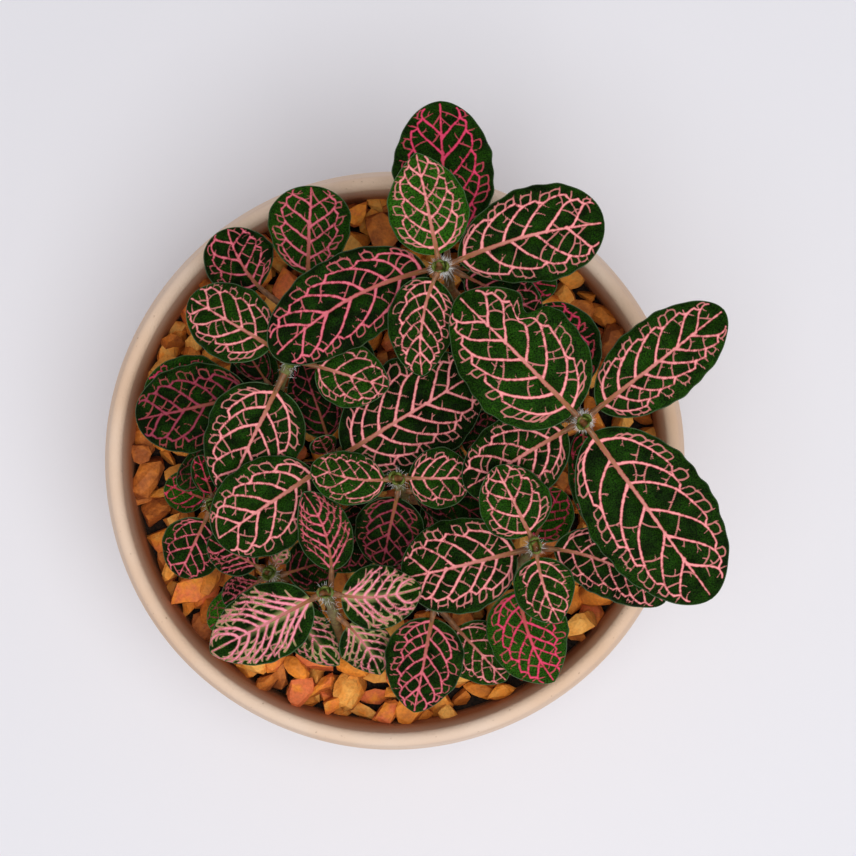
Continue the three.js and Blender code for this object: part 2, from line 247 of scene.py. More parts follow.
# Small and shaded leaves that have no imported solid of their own: the shoot, how high the leaf grows
# on its stem, and the leaf's own measures.
LITTLE_LEAVES = {
    "shaded_leaf": (
        ("back_left", 70, (-4.4, 20.8, 73), 10, 7, 0.5, OVAL, "dusky", 0.1),
        ("left_back", 68.5, (-33.5, 25.5, 68), 11, 1, 0.5, OVAL, "dusky", 0.2),
        ("left_back", 74, (-37, 31.3, 75), 8, 2, 0.5, OVAL, "dusky", 0.1),
        ("right", 77, (15, 4, 78), 13.5, 2, 1, OVAL, "dusky", 0.1),
        ("right", 94, (43.5, -13.5, 86), 8.5, 1, 1, OVAL, "crimson", 0.4),
        ("middle", 71, (-15.5, -23.5, 68), 13.5, 1, 1, OVAL, "dusky", 0.1),
        ("middle", 79, (20, -13, 79), 10.5, 1, 1, OVAL, "dusky", 0.1, 1.5),
        ("low_left", 68.5, (-12.5, -21.5, 66), 12, 1, 0.5, OVAL, "dusky", 0.2),
        ("left", 66, (-24, -12, 64), 12, 2, 1, OVAL, "dusky", 0.1),
        ("back", 88, (23.5, 40, 86), 8, 1, 1, OVAL, "dusky", 0.2),
        ("back", 68, (25, 27, 68), 12, 3, 1, OVAL, "dusky", 0.2),
        ("back", 71, (3, 29, 70), 12, 3, 1, OVAL, "dusky", 0.3),
        ("right", 70, (26, -4, 70), 12, 3, 1, OVAL, "dusky", 0.3),
        ("right", 71, (31, 24, 72), 11, 3, 1, ROUND, "dusky", 0.4),
        ("right_front", 68, (14, -17, 68), 12, 2, 1, OVAL, "dusky", 0.3),
        ("middle", 67.5, (-8, 4, 68), 11, 2, 1, OVAL, "dusky", 0.3),
        ("middle", 69, (15, 3, 68), 11, 2, 1, ROUND, "dusky", 0.2),
        ("left", 68, (2, 8, 67.5), 11, 2, 1, OVAL, "dusky", 0.3),
        ("back_left", 68, (-7, 41, 69), 10.5, 2, 1, OVAL, "dusky", 0.4),
        ("front", 67, (-3, -19, 67), 11, 2, 1, OVAL, "dusky", 0.3),
        ("front_left", 68, (-25, -33, 68), 10, 2, 1, OVAL, "dusky", 0.3),
        ("rim_left", 66, (-28, -2, 66), 10, 2, 1, OVAL, "dusky", 0.3),
    ),
    "young_leaf": (
        ("rim_left", 69, (-43.2, 1.5, 73), 6, 1, 0.5, OVAL, "crimson", 0.3),
        ("low_left", 76, (-23.6, -18.3, 79), 5, 1, 0.5, OVAL, "mauve", 0.4),
        ("left", 80, (-15.8, 5.6, 86.5), 6.2, 0.5, 0.5, ROUND, "rose", 0.3),
    ),
}


# ---- settings -----------------------------------------------------------------------------------
class BowlSettings(PropertyGroup):
    clay: colour("Clay", "#D8AE88", "Fired body of the bowl")
    pale_clay: colour("Pale clay", "#E9D2BD", "Where the body fired paler, in broad clouds")
    # Partly a water stain, partly painted shade and painted orange light bounced off the gravel, on the inner
    # wall
    stain_and_shade_clay: colour("Stain and shade", "#A86026", "Inner wall, stained by water and the stones")
    speck: colour("Specks", "#8A6A4C", "Iron specks in the clay")
    groove: length("Throwing line spacing", 2.6, "Distance between the lines left by the potter's fingers")
    groove_depth: length("Throwing line depth", 0.1, "How deep the lines are")


class GravelSettings(PropertyGroup):
    count: IntProperty(name="Stones", description="How many stones dress the soil", default=660, min=1)
    seed: IntProperty(name="Seed", description="Chooses how the stones lie", default=7)
    smallest: length("Smallest stone", 3.8, "Length of the smallest stones")
    largest: length("Largest stone", 9.5, "Length of the largest stones")
    ochre: colour("Ochre", "#FF9C2E", "Commonest stone")
    sand: colour("Sand", "#FFBC5C", "Pale stones and patches")
    salmon: colour("Salmon", "#EE7C44", "Reddish stones")
    brown: colour("Brown", "#A2561E", "Dark stones and patches")


class LeafSettings(PropertyGroup):
    grain: length("Mesh spacing", 0.25, "Distance between the vertices of a blade")
    small_grain: length("Small leaf mesh spacing", 0.32, "The same for the small and shaded leaves")
    thickness: length("Thickness", 0.3, "Thickness of a blade")
    bulge: length("Bulge", 0.34, "How far the blade rises between its veins")
    old_green: colour("Old green", "#081501", "Blade of an old leaf")
    young_green: colour("Young green", "#26520B", "Blade of a young leaf")
    underside: colour("Underside", "#5E7D4E", "Paler lower face of a blade")
    # Painted sheen: the pale line round the blade stands for light caught on its edge
    margin: colour("Margin", "#6E8660", "Thin pale line round the blade")
    salmon: colour("Salmon veins", "#F79E9E", "Veins of the upper leaves")
    rose: colour("Rose veins", "#E07282", "Veins of the middle leaves")
    crimson: colour("Crimson veins", "#EA4A72", "Veins of the low leaves")
    # Painted shade: a darker vein colour for leaves deep in the canopy's shade
    dusky: colour("Painted shade veins", "#983F52", "Veins of leaves in deep shade")
    mauve: colour("Mauve veins", "#F496A6", "Veins of the feathered leaves")
    lime: colour("Lime", "#C8C07C", "Yellowish green beside the veins of the feathered leaves")
    stalk: colour("Stalk", "#8F5C33", "Leaf stalks and the foot of each midrib")


class ShootSettings(PropertyGroup):
    bark: colour("Stem", "#8A5A3A", "Soft brown skin of the stems")
    green_bark: colour("Young stem", "#6F7A42", "Greener skin near the tips")
    hair: colour("Hair", "#FAF9F4", "Fine white hairs at the nodes")
    hair_length: length("Hair length", 1.9, "Length of the longest hairs")
    hair_width: length("Hair width", 0.1, "Width of a hair at its root")
    seed: IntProperty(name="Seed", description="Chooses where the hairs stand", default=3)


class StageSettings(PropertyGroup):
    floor: colour("Floor", "#E6E5E9", "Plain pale table top")
    camera_height: length("Camera height", 560, "From the rim straight up to the lens")
    field: length("Field", 193.2, "Width that the camera sees at the rim's height")
    sky: FloatProperty(name="Sky", description="Strength of the even light all round", default=0.52)
    softbox: FloatProperty(name="Softbox", description="Power of the softbox", default=10.8, unit="POWER")
    window: FloatProperty(name="Window", description="Power of the window", default=1.8, unit="POWER")
    across: length("Camera to the right", 7.7, "From the bowl's middle, since the leaves reach out there")
    behind: length("Camera to the back", 7.5, "From the bowl's middle, for the same reason")


# ---- meshes and nodes ---------------------------------------------------------------------------
def node(tree, kind, inputs=None, out=0, **settings):
    """Adds a node and gives back one of its outputs.

    settings are the node's own properties, and inputs are values or sockets for its inputs.
    """
    made = tree.nodes.new(kind)
    for name, value in settings.items():
        setattr(made, name, value)
    for key, value in (inputs or {}).items():
        if isinstance(value, bpy.types.NodeSocket):
            tree.links.new(value, made.inputs[key])
        else:
            made.inputs[key].default_value = value
    return made.outputs[out] if len(made.outputs) else made


COLOUR_MIX = {"out": 2, "data_type": "RGBA"}  # what makes a mix node mix inputs 6 and 7 as colours


def new_material(name, colour_of, **shader_values):
    """A material on one Principled shader.

    colour_of(tree, place) gives its colour and normal sockets, where place is the object's
    coordinates. shader_values are constants for the shader, with spaces written as underscores.
    """
    material = bpy.data.materials.new(name)
    material.use_nodes = True
    tree = material.node_tree
    tree.nodes.clear()
    inputs = {key.replace("_", " "): value for key, value in shader_values.items()}
    inputs["Base Color"], inputs["Normal"] = colour_of(tree, node(tree, "ShaderNodeTexCoord", out="Object"))
    shader = node(tree, "ShaderNodeBsdfPrincipled", inputs)
    node(tree, "ShaderNodeOutputMaterial", {"Surface": shader})
    return material


def mesh_object(name, points, faces, materials, slots=None, smooth=True):
    """An object at the origin from points in millimetres, with one slot number per face."""
    mesh = bpy.data.meshes.new(name)
    mesh.from_pydata((np.asarray(points) * MM).tolist(), [], faces)
    for material in materials:
        mesh.materials.append(material)
    if slots is not None:
        mesh.polygons.foreach_set("material_index", np.asarray(slots, np.int32))
    mesh.polygons.foreach_set("use_smooth", np.full(len(mesh.polygons), smooth))
    mesh.update()
    made = bpy.data.objects.new(name, mesh)
    bpy.context.collection.objects.link(made)
    return made


def store(made, name, values):
    """Keeps one number per vertex, for the materials to read."""
    layer = made.data.attributes.new(name, "FLOAT", "POINT")
    layer.data.foreach_set("value", np.asarray(values, np.float32))


def evaluated(source, name):
    """A plain object with the mesh that source's modifiers make. source is removed."""
    graph = bpy.context.evaluated_depsgraph_get()
    mesh = bpy.data.meshes.new_from_object(source.evaluated_get(graph), depsgraph=graph)
    mesh.name = name
    bpy.data.objects.remove(source)
    made = bpy.data.objects.new(name, mesh)
    bpy.context.collection.objects.link(made)
    return made


def unit(vectors):
    return vectors / np.linalg.norm(vectors, axis=-1, keepdims=True)


def distances(line):
    """How far along a line each of its points is."""
    return np.concatenate([[0], np.cumsum(np.linalg.norm(np.diff(line, axis=0), axis=1))])


def between_points(u, start, leave, end, arrive):
    """A cubic curve from start to end at shares u, with the given slopes at its ends."""
    line = (2 * u**3 - 3 * u**2 + 1) * start + (u**3 - 2 * u**2 + u) * leave
    return line + (3 * u**2 - 2 * u**3) * end + (u**3 - u**2) * arrive


def tube(path, radii, sides, sideways=None):
    """Points and faces of a closed tube along path, whose ends are capped."""
    path = np.asarray(path, float)
    forward = unit(np.gradient(path, axis=0))
    first = np.cross(forward, UP if sideways is None else sideways)
    weak = np.linalg.norm(first, axis=1) < 1e-3
    first[weak] = np.cross(forward[weak], [1.0, 0.0, 0.0])
    first = unit(first)
    second = np.cross(forward, first)
    turn = np.linspace(0, 2 * np.pi, sides, endpoint=False)
    cosine, sine = np.cos(turn)[None, :, None], np.sin(turn)[None, :, None]
    ring = cosine * first[:, None] + sine * second[:, None]
    points = (path[:, None] + ring * np.asarray(radii)[:, None, None]).reshape(-1, 3)
    faces = []
    for row in range(len(path) - 1):
        for side in range(sides):
            a = row * sides + side
            b = row * sides + (side + 1) % sides
            faces.append((a, b, b + sides, a + sides))
    faces.append(tuple(range(sides - 1, -1, -1)))
    last = (len(path) - 1) * sides
    faces.append(tuple(range(last, last + sides)))
    return points, faces


def finish_piece(made, slot, *nodes):
    """Lets a piece ride on the plant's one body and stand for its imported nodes."""
    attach(made, "root")
    if nodes:
        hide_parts(*nodes)


# ---- the shape of a leaf ------------------------------------------------------------------------
class Blade:
    """Where a leaf's blade and stalk run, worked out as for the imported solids."""

    def __init__(self, name, node_at, spec):
        self.name = name
        self.spec = spec
        self.seed = sum(ord(letter) * (i + 7) for i, letter in enumerate(name))
        start = np.array(node_at, float)
        end = np.array(spec["tip"], float)
        across = unit(np.cross(UP, end - start))
        bowed = across * 4 * spec["bow"]
        away = end - start + bowed
        away[2] = 0.0
        away = unit(away)
        self.socket = start
        self.foot = start + away * (STEM_RADIUS + STALK_GAP)
        self.end = end
        self.middle = (self.foot + end) / 2 + bowed / 2 + UP * 2 * spec["arch"]
        self.whole = self.line_length()
        self.stalk = spec["petiole"] / self.whole
        self.length = self.whole * (1 - self.stalk)
        self.width = spec["width"]
        self.half_least = STALK_WIDTH / 2

    def line(self, share):
        t = np.asarray(share)[..., None]
        return (1 - t) ** 2 * self.foot + 2 * t * (1 - t) * self.middle + t**2 * self.end

    def slope(self, share):
        t = np.asarray(share)[..., None]
        return unit(2 * (1 - t) * (self.middle - self.foot) + 2 * t * (self.end - self.middle))

    def line_length(self):
        steps = self.line(np.linspace(0, 1, 200))
        return float(np.linalg.norm(np.diff(steps, axis=0), axis=1).sum())

    def half(self, share):
        """Half the blade's width, at shares of its length."""
        form = self.spec["form"]
        share = np.asarray(share, float)
        to_base = share < form["widest"]
        widest = form["widest"]
        away = np.where(to_base, 1 - share / widest, (share - widest) / (1 - widest))
        power = np.where(to_base, form["base"], form["tip"])
        law = self.width / 2 * np.clip(1 - away**2, 0, None) ** power
        return np.maximum(law, np.where(share < 0.5, self.half_least, 0.02))

    def scallop(self, share, side):
        """How the margin wanders in and out, as a share of the half width, on one side."""
        turns = self.length / 4.6
        wave = np.sin(2 * np.pi * (share * turns + 0.37 * side) + self.seed)
        slow = np.sin(2 * np.pi * (share * turns * 0.43) + self.seed * 1.7 + side)
        return 1 + (0.014 * wave + 0.016 * slow) * np.sin(np.pi * np.clip(share, 0, 1))

    def bitten(self, share, side):
        """How much of the half width is missing where the margin has a bite, on one side."""
        if self.spec["bite"] is None or side != self.spec["bite"][0]:
            return np.zeros_like(share)
        _, at, depth = self.spec["bite"]
        return depth * np.exp(-(((share - at) / np.where(share < at, 0.035, 0.09)) ** 2))

    def surface(self, share, offset, above):
        """Points of the blade: offset is to the left of its middle line, and above is over it."""
        along = self.stalk + (1 - self.stalk) * np.asarray(share)
        forward = self.slope(along)
        left = unit(np.cross(UP, forward))
        over = np.cross(forward, left)
        sideways = left * np.asarray(offset)[..., None]
        return self.line(along) + sideways + over * np.asarray(above)[..., None]

    def swell(self, share, offset):
        """How far the blade's own form lifts it: a groove along the midrib, drooping and wavy margins."""
        ends = np.sin(np.pi * np.clip(share, 0.02, 0.98)) ** 0.6
        size = np.minimum(self.width / 18, 1.0)
        side = np.clip(offset / self.half(share), -1, 1)
        groove = -0.4 * np.exp(-((offset / 1.3) ** 2))
        crown = 0.28 * np.sin(np.pi * np.abs(side) ** 0.8)
        droop = -0.4 * np.abs(side) ** 3
        phase = self.seed % 7
        waves = np.sin(2 * np.pi * (share * self.length / 8.0) + phase + 2.1 * np.sign(offset))
        return size * ends * (groove + crown + droop + 0.3 * side**2 * waves)


# ---- the veins of a leaf ------------------------------------------------------------------------
class Veins:
    """The vein network of one blade, as lines in the blade's own flat millimetres.

    Side veins leave the midrib, bend forward along the margin and run into the next one. Cross veins
    and free spurs fill the fields between them, and small loops follow the margin. A feathered leaf's
    side veins end free and forked instead. main holds the midrib and side veins, and fine the rest.
    Each line is a pair of points and half widths.
    """

    ARC_POINTS = 40  # points along a side vein

    def __init__(self, blade):
        self.blade = blade
        self.random = np.random.default_rng(blade.seed)
        self.size = float(np.clip(blade.width / 17.5, 0.5, 1.1))
        self.main = []
        self.fine = []
        t = np.linspace(-0.01, 0.972, 44)
        sway = 0.012 * np.sin(t * 9 + blade.seed) * t
        self.midrib = self.flat(t, sway)
        self.main.append((self.midrib, self.size * (0.16 + 0.32 * (1 - t) ** 1.2)))
        for side in (1, -1):
            if blade.spec["feather"]:
                self.plume(side)
            else:
                self.arcs(side)

    def flat(self, t, q):
        """Points at shares t of the length and q of the half width."""
        t = np.asarray(t, float)
        half = self.blade.half(np.clip(t, 0, 1))
        return np.stack([t * self.blade.length, np.asarray(q) * half], axis=-1)

    def curve(self, start, end, bend=0.0, count=6):
        """A gently bent line between two flat points. bend is a share of its length."""
        u = np.linspace(0, 1, count)[:, None]
        across = np.array([-(end - start)[1], (end - start)[0]])
        return start + (end - start) * u + across * bend * 4 * u * (1 - u)

    def arc(self, start, end, reach, angle, pull, side):
        """A side vein from the midrib that leaves at angle and ends parallel to the margin."""
        here = self.flat(start, 0.0)
        goal = self.flat(end, reach)
        before = self.flat(end - 0.04, reach)
        chord = float(np.linalg.norm(goal - here))
        leave = np.array([math.cos(angle), math.sin(angle)]) * chord * pull
        arrive = unit(goal - before) * chord * 1.05
        u = np.linspace(0, 1, self.ARC_POINTS)[:, None]
        line = between_points(u, here, leave, goal, arrive)
        t = line[:, 0] / self.blade.length
        q = line[:, 1] / self.blade.half(np.clip(t, 0.01, 0.99))
        limit = reach + 0.03
        q = limit * np.tanh((np.maximum(q, 0) / limit) ** 2) ** 0.5
        wave = self.random.uniform(0.006, 0.014) * np.sin(u[:, 0] * self.random.uniform(9, 17) + side)
        return t, q + wave * np.minimum(u[:, 0] * 4, 1)

    def arcs(self, side):
        pick = self.random
        count = 3 + sum(self.blade.length > least for least in (12, 19, 34)) + int(pick.random() < 0.55)
        order = np.arange(count) / (count - 1)
        starts = 0.045 + 0.71 * order**1.15 + pick.uniform(-0.018, 0.018, count) + side * 0.014
        starts[0] = max(starts[0], 0.03)
        outer = 0.82 + 0.04 * order + pick.uniform(-0.02, 0.02, count)
        angles = np.radians(76 - 36 * order + pick.uniform(-5, 5, count))
        pulls = 1.25 - 0.35 * order
        lines = []
        for start, reach, angle, pull in zip(starts, outer, angles, pulls):
            end = start + 0.62 * (1 - start) ** 0.8
            lines.append(self.arc(start, min(end, 0.94), reach, angle, pull, side))
        flats = [self.flat(t, side * q) for t, q in lines]
        for index in range(count - 1):
            # A side vein stops where it comes close to the next one, and bends into it
            gap = np.linalg.norm(flats[index][:, None] - flats[index + 1][None], axis=2)
            past_start = np.arange(self.ARC_POINTS) > 16
            close = np.flatnonzero((gap.min(axis=1) < 1.5 * self.size) & past_start)
            last = self.ARC_POINTS - 1
            stop = int(close[0]) if len(close) else last
            onto = min(int(gap[stop].argmin()) + 2, last)
            flats[index] = flats[index][: stop + 1]
            lines[index] = (lines[index][0][: stop + 1], lines[index][1][: stop + 1])
            join = self.curve(flats[index][-1], flats[index + 1][onto], -side * 0.1)
            self.main.append((join, np.full(len(join), self.size * 0.22)))
        for line in flats:
            wide = self.size * pick.uniform(0.24, 0.29)
            taper = np.linspace(1, 0.68, len(line))
            foot = 1 + 0.45 * np.exp(-np.arange(len(line)) / 1.8)
            self.main.append((line, wide * taper * foot))
        chain_from = 0.0
        for index, line in enumerate(flats):
            targets = [self.midrib] + ([flats[index + 1]] if index + 1 < count else [])
            self.fill(line, np.concatenate(targets), side)
            self.loops(line, lines[index], side, chain_from)
            chain_from = lines[index][0][-1]

    def fill(self, line, targets, side):
        """Cross veins and free spurs on the inner side of a side vein."""
        pick = self.random
        looser = 1.2 if self.size < 0.75 else 0.5 * (self.size < 0.95)
        cell = float(np.clip(0.05 * self.blade.length + 1.3, 2.5, 3.2)) + looser
        steps = distances(line)
        at = pick.uniform(0.6, 1.2) * cell
        while at < steps[-1] * 0.94:
            start = np.array([np.interp(at, steps, line[:, axis]) for axis in (0, 1)])
            ahead = np.array([np.interp(at + 0.3, steps, line[:, axis]) for axis in (0, 1)])
            along = unit(ahead - start)
            inside = np.array([along[1], -along[0]]) * side
            gap = targets - start
            depth = gap @ inside
            score = np.where(depth > 0.9, depth + 2.2 * np.abs(gap @ along - 0.15 * depth), 99)
            best = int(np.argmin(score))
            far = depth[best] if score[best] < 40 else 4.0
            joined = 1.5 < score[best] < 7 and pick.random() < np.clip(1.15 - far / 5.5, 0.0, 0.85)
            bend = pick.uniform(-0.12, 0.12)
            if joined:
                cross = self.curve(start, targets[best], bend)
                thin = self.size * pick.uniform(0.1, 0.15)
                self.fine.append((cross, np.full(len(cross), thin)))
                if far > 2.4 and pick.random() < 0.7:
                    self.spur(cross[3], along * pick.choice([-1, 1]) + inside * 0.3, pick.uniform(0.7, 1.5))
            elif far > 1.8 and pick.random() < 0.75:
                away = inside + along * pick.uniform(-0.1, 0.5)
                self.spur(start, away, min(pick.uniform(0.9, 2.6), 0.6 * far))
            at += cell * pick.uniform(0.7, 1.35)

    def spur(self, start, away, reach):
        """A thin vein that ends free, often forked."""
        pick = self.random
        end = start + unit(away) * reach
        line = self.curve(start, end, pick.uniform(-0.15, 0.15), 5)
        wide = self.size * pick.uniform(0.1, 0.14)
        self.fine.append((line, np.linspace(wide, wide * 0.5, 5)))
        if reach > 1.5 and pick.random() < 0.6:
            turn = pick.choice([-1, 1]) * 0.9
            fork = np.array([away[0] - turn * away[1], away[1] + turn * away[0]])
            tip = line[2] + unit(fork) * reach * 0.45
            self.fine.append((self.curve(line[2], tip, 0.1, 4), np.linspace(wide * 0.8, wide * 0.4, 4)))

    def loops(self, line, flat, side, start_at):
        """A row of small cells on the outer side of a side vein, with spurs toward the margin."""
        pick = self.random
        t, q = flat
        steps = distances(line)
        at = float(np.interp(max(start_at, t[1]), t, steps)) + pick.uniform(0.3, 0.9)
        share = pick.uniform(0.5, 0.68)
        last = None
        while at < steps[-1] - 0.3:
            here = float(np.interp(at, steps, t))
            level = float(np.interp(here, t, q))
            half = float(self.blade.half(min(here, 0.97)))
            room = (0.955 - level) * half
            if room < 0.55:
                at += 0.8
                continue
            share = float(np.clip(share + pick.uniform(-0.1, 0.1), 0.45, 0.75))
            reach = min(room * share, 2.1 * self.size)
            start = self.flat(here, side * level)
            tip = self.flat(min(here + 0.35 * reach / self.blade.length, 0.97), side * (level + reach / half))
            wide = self.size * pick.uniform(0.1, 0.14)
            twig = self.curve(start, tip, -side * pick.uniform(0.02, 0.14))
            self.fine.append((twig, np.linspace(wide * 1.3, wide, len(twig))))
            near = last is not None and np.linalg.norm(last - tip) < 4.2
            if near and pick.random() < (0.92 if self.size > 0.75 else 0.45):
                loop = self.curve(last, tip, side * pick.uniform(0.1, 0.22), 7)
                self.fine.append((loop, np.full(len(loop), wide)))
                if pick.random() < 0.35:
                    self.spur(loop[3], tip - start, 0.35 * (room - reach) + 0.3)
            if pick.random() < 0.5:
                self.spur(tip, tip - start, 0.4 * (room - reach) + 0.3)
            last = tip
            at += pick.uniform(1.8, 2.8) * (0.6 + 0.4 * self.size)

    def plume(self, side):
        """The free-ended, forked side veins of a feathered leaf."""
        pick = self.random
        count = int(np.clip(round(self.blade.length / 3.2), 5, 8))
        for index in range(count):
            start = 0.02 + 0.78 * index / count + pick.uniform(-0.015, 0.015)
            reach = pick.uniform(0.84, 0.95)
            span = (0.46 - 0.22 * start) * reach
            u = np.linspace(0, 1, 16)
            q = reach * u ** pick.uniform(0.8, 0.95) + 0.02 * np.sin(u * 9 + index)
            line = self.flat(start + span * u**1.15, side * q)
            wide = self.size * pick.uniform(0.26, 0.32)
            self.main.append((line, wide * np.linspace(1.3, 0.5, len(u))))
            turn = pick.choice([-1, 1])
            for at in (3, 5, 7, 9, 11, 13):
                along = unit(line[at + 1] - line[at])
                lean = turn * pick.uniform(0.4, 1.0)
                away = np.array([along[0] - lean * along[1], along[1] + lean * along[0]])
                tip = line[at] + unit(away) * pick.uniform(1.3, 2.6) * self.size
                branch = self.curve(line[at], tip, -turn * pick.uniform(0, 0.12), 6)
                self.fine.append((branch, self.size * np.linspace(0.2, 0.09, 6)))
                turn = -turn

    def nearness(self, lines, points):
        """For each point the half width less the distance of the vein that covers it best."""
        starts = np.concatenate([line[:-1] for line, _ in lines])
        ends = np.concatenate([line[1:] for line, _ in lines])
        first = np.concatenate([wide[:-1] for _, wide in lines])
        last = np.concatenate([wide[1:] for _, wide in lines])
        best = np.full(len(points), -9.0)
        spans = ends - starts
        squares = np.maximum((spans**2).sum(1), 1e-9)
        for low in range(0, len(points), 2000):
            part = points[low : low + 2000]
            gap = part[:, None] - starts
            u = np.clip((gap * spans).sum(2) / squares, 0, 1)
            away = np.linalg.norm(gap - u[..., None] * spans, axis=2)
            best[low : low + 2000] = (first + (last - first) * u - away).max(axis=1)
        return best


# ---- leaf meshes --------------------------------------------------------------------------------
def blade_mesh(blade, look, grain):
    """The blade as one closed shell, with its vein distances and other measures per vertex."""
    rows = max(int(blade.length / grain), 24)
    even = np.linspace(0, 1, rows + 1)
    share = 0.55 * even + 0.45 * (1 - np.cos(np.pi * even)) / 2
    share = share[:-1]
    columns = max(int(blade.width / grain), 18)
    q = np.linspace(-1, 1, columns + 1)
    under_q = np.linspace(-1, 1, max(columns // 4, 6) + 1)[1:-1]
    half = blade.half(share)
    flat_top = np.stack([np.repeat(share, len(q)), (half[:, None] * q).ravel()], 1)
    flat_under = np.stack([np.repeat(share, len(under_q)), (half[:, None] * under_q).ravel()], 1)
    flat = np.concatenate([flat_top, flat_under, [[1.0, 0.0]]])
    flat_mm = flat * [blade.length, 1]
    veins = Veins(blade)
    main = veins.nearness(veins.main, flat_mm)
    fine = veins.nearness(veins.fine, flat_mm)
    midrib = veins.nearness(veins.main[:1], flat_mm)
    edge_t = np.concatenate([share[1:], [1.0]])
    edge_y = np.concatenate([half[1:], [0.0]])
    outline = np.stack([edge_t * blade.length, edge_y], 1)
    outline = np.concatenate([outline, (outline * [1, -1])[::-1]])
    rim = -veins.nearness([(outline, np.zeros(len(outline)))], flat_mm)

    between = 1 - np.exp(-((np.minimum(main, 0) / 1.2) ** 2))
    between = between + 0.3 * (1 - np.exp(-((np.minimum(fine, 0) / 0.6) ** 2)))
    ends = np.sin(np.pi * np.clip(flat[:, 0], 0.02, 0.98)) ** 0.5
    relief = look.bulge / MM * between * ends * np.clip(rim / 1.2, 0, 1)
    body = look.thickness / MM / 2 * (1 - np.exp(-rim / 0.25))
    lift = blade.swell(flat[:, 0], flat[:, 1])
    is_top = np.arange(len(flat)) < len(flat_top)
    above = lift + np.where(is_top, body + relief, -body + 0.6 * relief)
    above[:-1][rim[:-1] < 1e-6] = lift[:-1][rim[:-1] < 1e-6]
    above[-1] = lift[-1]
    wavy = np.where(flat[:, 1] > 0, blade.scallop(flat[:, 0], 1), blade.scallop(flat[:, 0], -1))
    bite = np.where(flat[:, 1] > 0, blade.bitten(flat[:, 0], 1), blade.bitten(flat[:, 0], -1))
    narrow = (1 + (wavy - 1) * np.exp(-rim / 3)) * (1 - bite * np.exp(-rim / 11))
    points = blade.surface(flat[:, 0], flat[:, 1] * narrow, above)

    count = len(share)
    top = np.arange(len(flat_top)).reshape(count, len(q))
    inner = len(flat_top) + np.arange(len(flat_under)).reshape(count, len(under_q))
    under = np.concatenate([top[:, :1], inner, top[:, -1:]], axis=1)
    tip = len(flat) - 1
    faces = []
    slots = []

    def add(made, slot):
        faces.extend(made)
        slots.extend([slot] * len(made))

    quads = np.stack([top[:-1, :-1], top[1:, :-1], top[1:, 1:], top[:-1, 1:]], -1).reshape(-1, 4)
    add(quads.tolist(), 0)
    add([(int(b), int(a), tip) for a, b in zip(top[-1, :-1], top[-1, 1:])], 0)
    quads = np.stack([under[:-1, :-1], under[:-1, 1:], under[1:, 1:], under[1:, :-1]], -1).reshape(-1, 4)
    add(quads.tolist(), 1)
    add([(int(a), int(b), tip) for a, b in zip(under[-1, :-1], under[-1, 1:])], 1)
    add([inner[0].tolist()[::-1] + top[0].tolist()], 1)
    measures = {
        "vein": main,
        "twig": fine,
        "midrib": midrib,
        "rim": rim,
        "along": flat[:, 0],
    }
    return points, faces, slots, measures


def stalk_mesh(blade):
    """The stalk from inside the stem, and the midrib that it becomes under the blade."""
    reach = np.linspace(0, blade.stalk + 0.8 * (1 - blade.stalk), 34)
    share = np.clip((reach - blade.stalk) / (1 - blade.stalk), 0, 1)
    radius = np.interp(share, [0, 0.05, 0.3, 1], [0.55, 0.5, 0.36, 0.12])
    radius[reach < blade.stalk] = np.interp(reach[reach < blade.stalk], [0, blade.stalk], [0.74, 0.58])
    sunk = np.interp(share, [0, 0.1, 1], [0.06, 0.34, 0.26]) + 0.4 * radius * np.clip(share / 0.1, 0, 1)
    lift = blade.swell(share, np.zeros(len(share))) * np.clip(share / 0.05, 0, 1)
    forward = blade.slope(reach)
    left = unit(np.cross(UP, forward))
    path = blade.line(reach) + np.cross(forward, left) * (lift - sunk)[:, None]
    path = np.concatenate([[blade.socket], path])
    radius = np.concatenate([[0.74], radius])
    sides = 8
    points, faces = tube(path, radius, sides)
    return points, faces, np.repeat(np.concatenate([[0.0], share]), sides)


def leaf_object(name, blade, look, materials, grain):
    """One leaf: its blade with its stalk. grain is the blade's mesh spacing in millimetres."""
    points, faces, slots, measures = blade_mesh(blade, look, grain)
    more, more_faces, more_along = stalk_mesh(blade)
    first = len(points)
    faces = faces + [tuple(first + int(i) for i in face) for face in more_faces]
    slots = slots + [2] * len(more_faces)
    made = mesh_object(name, np.concatenate([points, more]), faces, materials, slots)
    for key, values in measures.items():
        extra = more_along if key == "along" else np.full(len(more), 3.0 if key == "rim" else -3.0)
        store(made, key, np.concatenate([values, extra]))
    store(made, "fresh", np.full(len(made.data.vertices), blade.spec["fresh"]))
    return made


